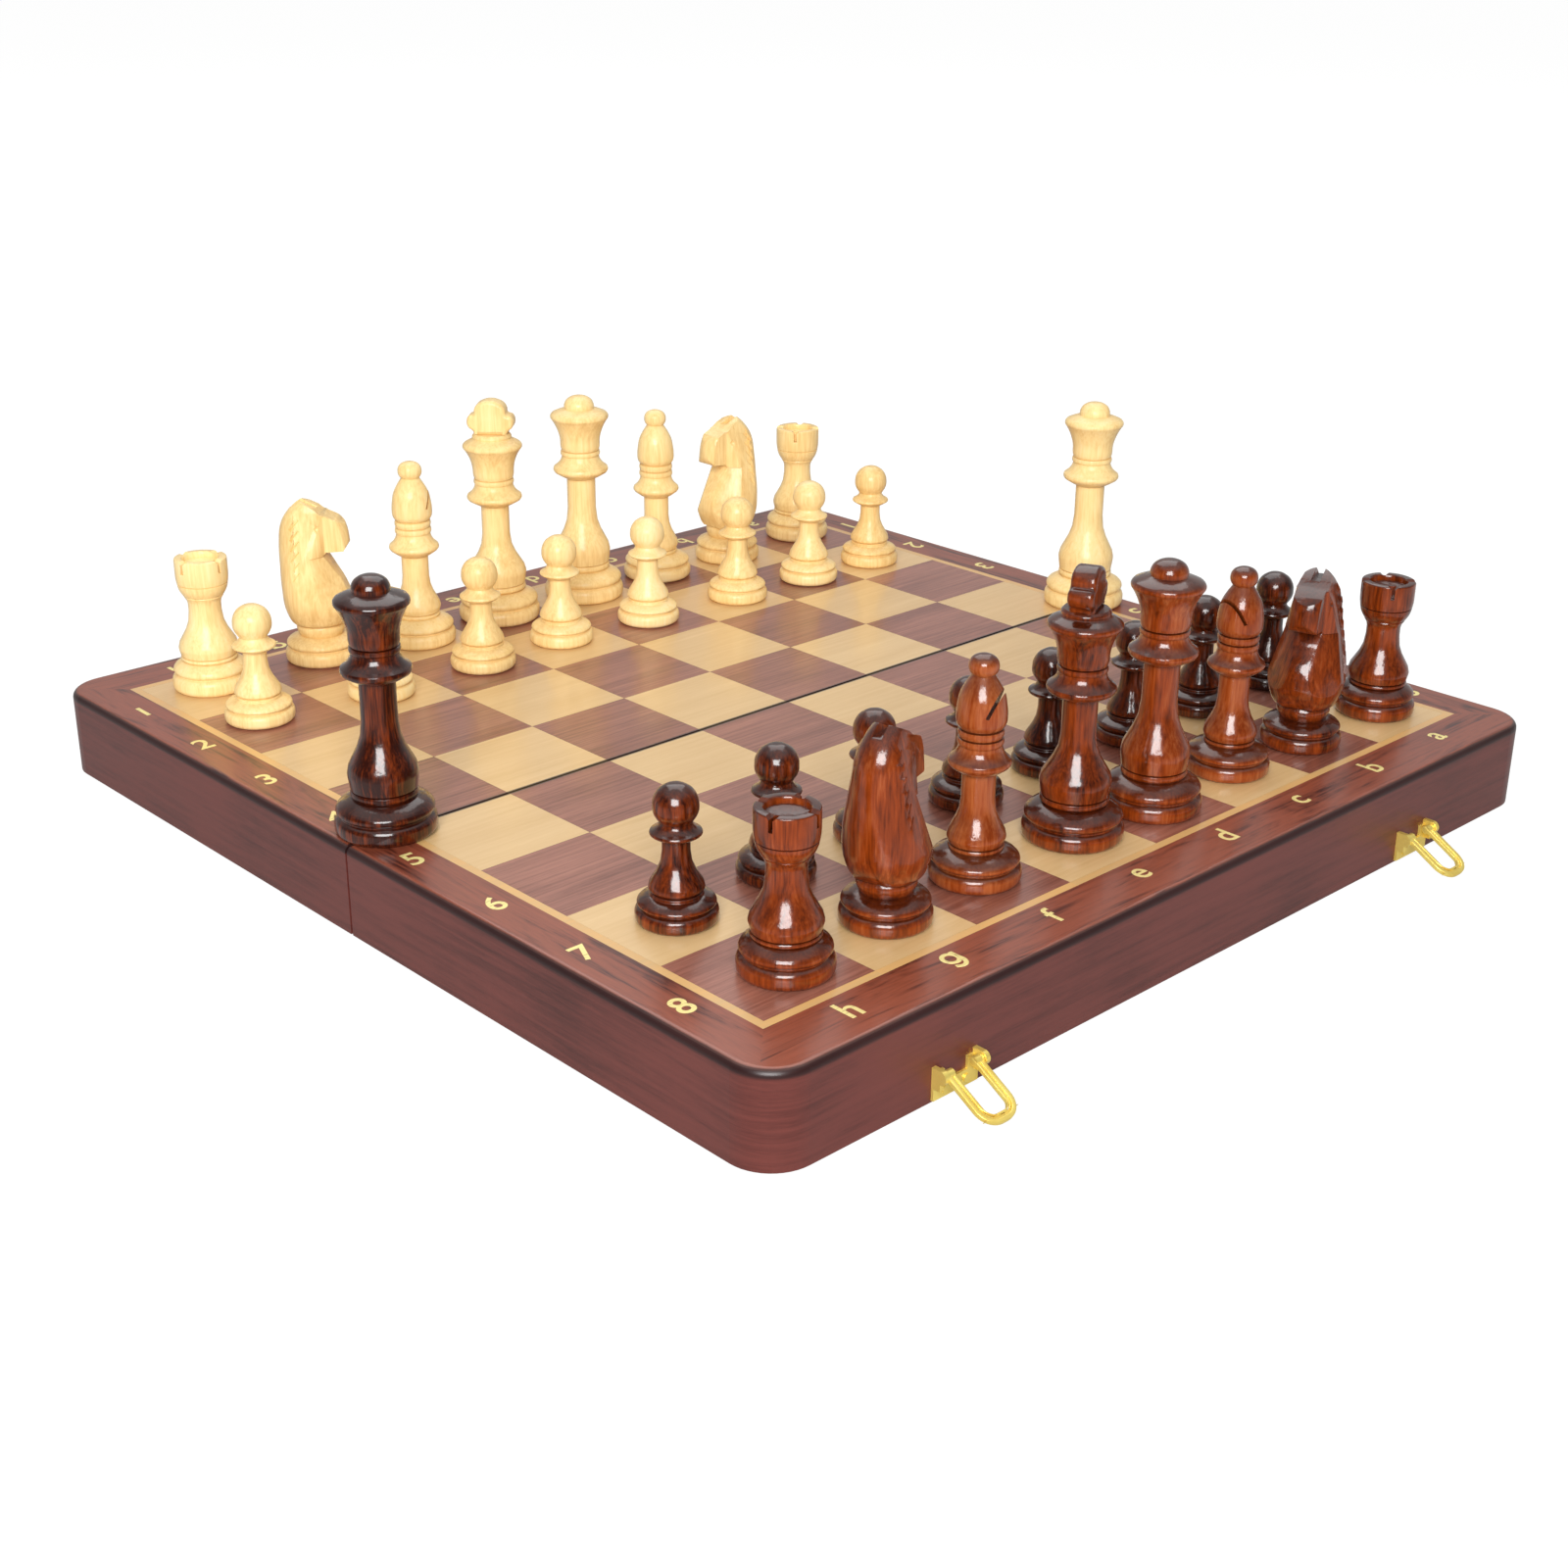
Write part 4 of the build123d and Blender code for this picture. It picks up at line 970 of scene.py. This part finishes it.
class CHESS_OT_kings(bpy.types.Operator):
    """Turn the kings and carve their crosses"""

    bl_idname = "chess.kings"
    bl_label = "Kings"

    def execute(self, context):
        finish = context.scene.chess_men
        knots = foot(32.8, 6.4, 13.4, 20.4, 1.6, 23.0, 20.0, 11.1, 35.6)
        knots += collar(11.1, 21.9, 51.0, 15.2, 56.0)
        knots += bead(15.2, 16.0, 56.0, 58.3)
        # The crown
        knots += [smooth(8.05, 59.8), smooth(8.2, 62.2), smooth(8.8, 65.4), smooth(10.0, 68.3)]
        knots += [corner(11.1, 70.1), smooth(11.75, 71.0), smooth(11.7, 71.9), corner(11.0, 72.7)]
        knots += [smooth(9.3, 73.6), corner(8.0, 74.2), corner(7.7, 74.6), smooth(7.8, 75.5)]
        knots += [corner(7.0, 76.5), corner(0, 76.9)]
        bm = bmesh.new()
        bm.from_mesh(turned_mesh("king", knots, finish))
        bm.from_mesh(self.cross(finish.resolution))
        place_kind("king", finished(bm, "king"))
        return {"FINISHED"}

    def cross(self, resolution):
        """The thick cross with rounded arms."""
        half, ease = 4.2, 1.6
        right = [corner(6.4, 76.2), *curved((6.9, 77.8), (8.6, 79.2), (9.3, 81.6), (8.4, 83.8))]
        right += curved((6.4, 84.7), (6.2, 86.2), (5.1, 88.2), (2.8, 89.5))
        left = [(-x, z, after, before) for x, z, before, after in reversed(right)]
        curve = flat_curve(half, ease, resolution, 4)
        curve.offset = -ease * MM
        draw(curve, right + [smooth(0, 90.0)] + left, True)
        return upright(mesh_of(curve))


class CHESS_OT_knights(bpy.types.Operator):
    """Turn the knights' bases and carve their heads"""

    bl_idname = "chess.knights"
    bl_label = "Knights"

    def execute(self, context):
        finish = context.scene.chess_men
        base = foot(28.2, 6.0, 11.4, 16.6, 0.4, 17.0, 12.4, 16.0, 20.0)[:KNOTS_BELOW_BEAD]
        base += [smooth(9.2, 13.7), corner(8.3, 16.0), corner(0, 16.4)]
        foot_mesh = turned_mesh("knight", base, finish)
        head = carved(self.side_view(finish), self.blank(finish), "INTERSECT")
        ear_gap = box_mesh((40, 3.2, 8), Matrix.Translation((0, 0, 64.2)))
        head = carved(head, ear_gap, "DIFFERENCE")
        locks, eyes = bmesh.new(), bmesh.new()
        for hand in (-1, 1):
            # The flat side in front of the mane, which keeps the round of the blank
            flat = Matrix.Translation((-6.2, hand * 7.0, 52.0))
            flat = flat @ Matrix.Rotation(hand * math.radians(13), 4, "X")
            flank = box_mesh((40, 20, 80), flat @ Matrix.Translation((20, hand * 10, 0)))
            for cutter in (self.cheek(hand), self.throat(hand), flank):
                head = carved(head, cutter, "DIFFERENCE")
            # Slanting cuts on the edge of the mane
            knife = Matrix.Rotation(math.radians(40), 4, "Y") @ Matrix.Rotation(math.pi / 4, 4, "Z")
            for lock in range(6):
                spot = flat @ Matrix.Translation((0.3, hand * 0.7, 3.0 - 4.0 * lock))
                locks.from_mesh(box_mesh((1.5, 1.5, 5.0), spot @ knife))
            ball = bmesh.ops.create_uvsphere(eyes, u_segments=20, v_segments=12, radius=1.4 * MM)["verts"]
            bmesh.ops.translate(eyes, vec=Vector((2.6, hand * 7.3, 53.6)) * MM, verts=ball)
        for cuts in (locks, eyes):
            head = carved(head, finished(cuts, "cuts"), "DIFFERENCE")
        bm = bmesh.new()
        bm.from_mesh(foot_mesh)
        bm.from_mesh(eased(head, 0.35, 28, 2))
        place_kind("knight", finished(bm, "knight"))
        return {"FINISHED"}

    def side_view(self, finish):
        """A board sawn to the head's side view: up the mane, over the ears and the muzzle, down the chest."""
        mane = [corner(-9.2, 15.8), smooth(-12.3, 20.5), smooth(-13.5, 37.0), smooth(-13.2, 50.0)]
        ears = [smooth(-10.4, 58.0), corner(-4.4, 63.4), corner(1.6, 60.4), corner(3.2, 58.9)]
        muzzle = [smooth(8.6, 56.6), corner(12.4, 54.2), smooth(13.6, 51.4), smooth(13.2, 47.2)]
        jaw = [corner(11.6, 44.4), corner(5.0, 43.9), corner(3.8, 42.4)]
        chest = [smooth(7.2, 37.0), smooth(10.4, 31.6), smooth(12.2, 24.0), corner(9.2, 15.8)]
        return slab_mesh(mane + ears + muzzle + jaw + chest, 15.0, finish.resolution)

    def blank(self, finish):
        """The turned blank of the head, squeezed from side to side towards its top."""
        squeeze, squeeze_low, squeeze_rise = 0.27, 25.0, 27.0
        back = curved((9.4, 15.0), (12.3, 19.6), (13.5, 29.0), (13.6, 38.0))
        back += curved((13.4, 47.0), (12.3, 54.0), (9.9, 58.4), (5.2, 63.0))
        blank = turned_mesh("blank", [corner(0, 15.0)] + back + [corner(0, 65.5)], finish)
        for point in blank.vertices:
            lift = min(1.0, max(0.0, (point.co.z / MM - squeeze_low) / squeeze_rise))
            point.co.y *= 1 - squeeze * lift * lift * (3 - 2 * lift)
        return blank

    def cheek(self, hand):
        """What is cut away beside the muzzle, from which the cheeks fall back to the neck."""
        near, far = -hand * 4.9, -hand * 20
        plan = [corner(4.5, near), corner(20, near), corner(20, far), corner(-10.6, far)]
        cheek = slab_mesh(plan, 8.2, 2)
        cheek.transform(Matrix.Translation((0, 0, 50.0 * MM)) @ Matrix.Rotation(math.pi / 2, 4, "X"))
        return cheek

    def throat(self, hand):
        """What is cut away beside the throat: a bevel from below the jaw down to the chest."""
        facing = Vector((18, hand * 18, 8.4))
        outward = Vector((1, 0, 0)).rotation_difference(facing).to_matrix().to_4x4()
        bevel = Matrix.Translation((3.9, hand * 4.9, 42.0)) @ outward @ Matrix.Translation((10, 0, 0))
        below_jaw = box_mesh((60, 60, 24), Matrix.Translation((0, 0, 30.5)))
        return carved(box_mesh((20, 50, 70), bevel), below_jaw, "INTERSECT")


class CHESS_OT_stage(bpy.types.Operator):
    """Set the floor, the lamps, the world and the camera"""

    bl_idname = "chess.stage"
    bl_label = "Stage"

    def execute(self, context):
        finish = context.scene.chess_stage
        self.floor(finish)
        self.lamps(finish)
        self.world(finish)
        self.camera(finish)
        context.scene.view_settings.view_transform = "Standard"
        return {"FINISHED"}

    def rays(self, tree):
        """1 for what the camera sees straight, and 1 for what is seen in a reflection or through glass."""
        path = node(tree, "LightPath").outputs
        mirrored = maths(tree, "MAXIMUM", path["Is Glossy Ray"], path["Is Transmission Ray"])
        return path["Is Camera Ray"], mirrored

    def nearness(self, tree, place):
        """How far a point or a direction lies on the camera's side."""
        return node(tree, "VectorMath", {0: place, 1: CAMERA_SIDE}, operation="DOT_PRODUCT").outputs[1]

    def floor(self, finish):
        """A white sweep that stays white for the camera and still takes the board's shadow."""
        bm = bmesh.new()
        bmesh.ops.create_grid(bm, x_segments=1, y_segments=1, size=30)
        mesh = mesh_from(bm, "floor")
        material, tree, place = blank_material("Matt paper sweep")
        matt = node(tree, "BsdfDiffuse", {"Color": (*finish.floor, 1)}).outputs[0]
        # Seen in the lacquer, the sweep ends in a dim room on the camera's side
        fade = ranged(tree, self.nearness(tree, place), 0.26, 0.42, 0.5, 0.16)
        direct, mirrored = self.rays(tree)
        strength = node(tree, "Mix", {0: direct, 2: fade, 3: 1.18}, data_type="FLOAT").outputs[0]
        glow = node(tree, "Emission", {"Color": (1, 1, 1, 1), "Strength": strength}).outputs[0]
        share = maths(tree, "MULTIPLY", maths(tree, "MAXIMUM", direct, mirrored), 0.8)
        node(tree, "OutputMaterial", {0: node(tree, "MixShader", {0: share, 1: matt, 2: glow}).outputs[0]})
        mesh.materials.append(material)
        shown("floor", mesh)

    def lamps(self, finish):
        """One softbox just above the camera and one large soft light overhead."""
        target = Vector((0, 0, 0.05))
        plan = [
            ("softbox", (-0.72, -0.69, 0.5), 1.7, (0.9, 0.75), finish.softbox),
            ("overhead", (0.45, 0.5, 1.1), 2.4, (2.2, 2.2), finish.overhead),
        ]
        for name, direction, reach, size, power in plan:
            lamp = bpy.data.lights.new(name, "AREA")
            lamp.shape = "RECTANGLE"
            lamp.size, lamp.size_y = size
            lamp.energy = power
            made = shown(name, lamp)
            toward = Vector(direction).normalized()
            made.location = target + reach * toward
            made.rotation_mode = "QUATERNION"
            made.rotation_quaternion = toward.to_track_quat("Z", "Y")

    def world(self, finish):
        """White for the camera, a bright backdrop in reflections and an even fill on the wood."""
        world = bpy.data.worlds.new("studio")
        world.use_nodes = True
        tree = world.node_tree
        tree.nodes.clear()
        # Reflections see a bright wall behind the board and a dim room on the camera's side
        toward = node(tree, "TexCoord").outputs["Generated"]
        wall = ranged(tree, self.nearness(tree, toward), -0.75, 0.45, 0.45, 0.05)
        height = node(tree, "SeparateXYZ", {0: toward}).outputs["Z"]
        ceiling = ranged(tree, height, 0.5, 0.85, 0.0, 0.9)
        glow = maths(tree, "MAXIMUM", wall, ceiling)
        direct, mirrored = self.rays(tree)
        lit = node(tree, "Mix", {0: mirrored, 2: finish.fill, 3: glow}, data_type="FLOAT").outputs[0]
        strength = node(tree, "Mix", {0: direct, 2: lit, 3: 1.0}, data_type="FLOAT").outputs[0]
        back = node(tree, "Background", {"Color": (1, 1, 1, 1), "Strength": strength}).outputs[0]
        node(tree, "OutputWorld", {0: back})
        bpy.context.scene.world = world

    def camera(self, finish):
        """The photograph's view, about 21 degrees above the board."""
        lens = bpy.data.cameras.new("camera")
        lens.lens = finish.lens
        lens.sensor_width = 36
        lens.clip_start = 0.01
        spot = Matrix.Translation((-0.51697, -0.54265, 0.3175))
        right = Vector((0.72721, -0.68636, 0.00816))
        down = Vector((-0.26269, -0.28927, -0.92050))
        ahead = Vector((0.63416, 0.66725, -0.39066))
        made = shown("camera", lens)
        made.matrix_world = spot @ Matrix((right, -down, -ahead)).transposed().to_4x4()
        bpy.context.scene.camera = made


class CHESS_PT_panel(bpy.types.Panel):
    """Chess set steps"""

    bl_idname = "CHESS_PT_panel"
    bl_label = "Chess set"
    bl_space_type = "VIEW_3D"
    bl_region_type = "UI"
    bl_category = "Chess set"

    def draw(self, context):
        for finish in FINISHES:
            group = getattr(context.scene, finish)
            for name in group.bl_rna.properties.keys():
                if name not in ("rna_type", "name"):
                    self.layout.prop(group, name)
        for step in STEPS:
            self.layout.operator(step.bl_idname)


FINISHES = {
    "chess_board": BoardFinish,
    "chess_men": MenFinish,
    "chess_brass": BrassFinish,
    "chess_stage": StageFinish,
}
STEPS = (
    CHESS_OT_board,
    CHESS_OT_coordinates,
    CHESS_OT_fittings,
    CHESS_OT_pawns,
    CHESS_OT_rooks,
    CHESS_OT_bishops,
    CHESS_OT_queens,
    CHESS_OT_kings,
    CHESS_OT_knights,
    CHESS_OT_stage,
)


def register():
    """Add the finishes, the steps and the panel."""
    for made in (*FINISHES.values(), *STEPS, CHESS_PT_panel):
        bpy.utils.register_class(made)
    for name, made in FINISHES.items():
        setattr(bpy.types.Scene, name, bpy.props.PointerProperty(type=made))


def unregister():
    """Take them away again."""
    for name in FINISHES:
        delattr(bpy.types.Scene, name)
    for made in reversed((*FINISHES.values(), *STEPS, CHESS_PT_panel)):
        bpy.utils.unregister_class(made)


def main():
    """Build everything in order."""
    register()
    bpy.ops.chess.board()
    bpy.ops.chess.coordinates()
    bpy.ops.chess.fittings()
    bpy.ops.chess.pawns()
    bpy.ops.chess.rooks()
    bpy.ops.chess.bishops()
    bpy.ops.chess.queens()
    bpy.ops.chess.kings()
    bpy.ops.chess.knights()
    bpy.ops.chess.stage()


if __name__ == "__main__":
    main()
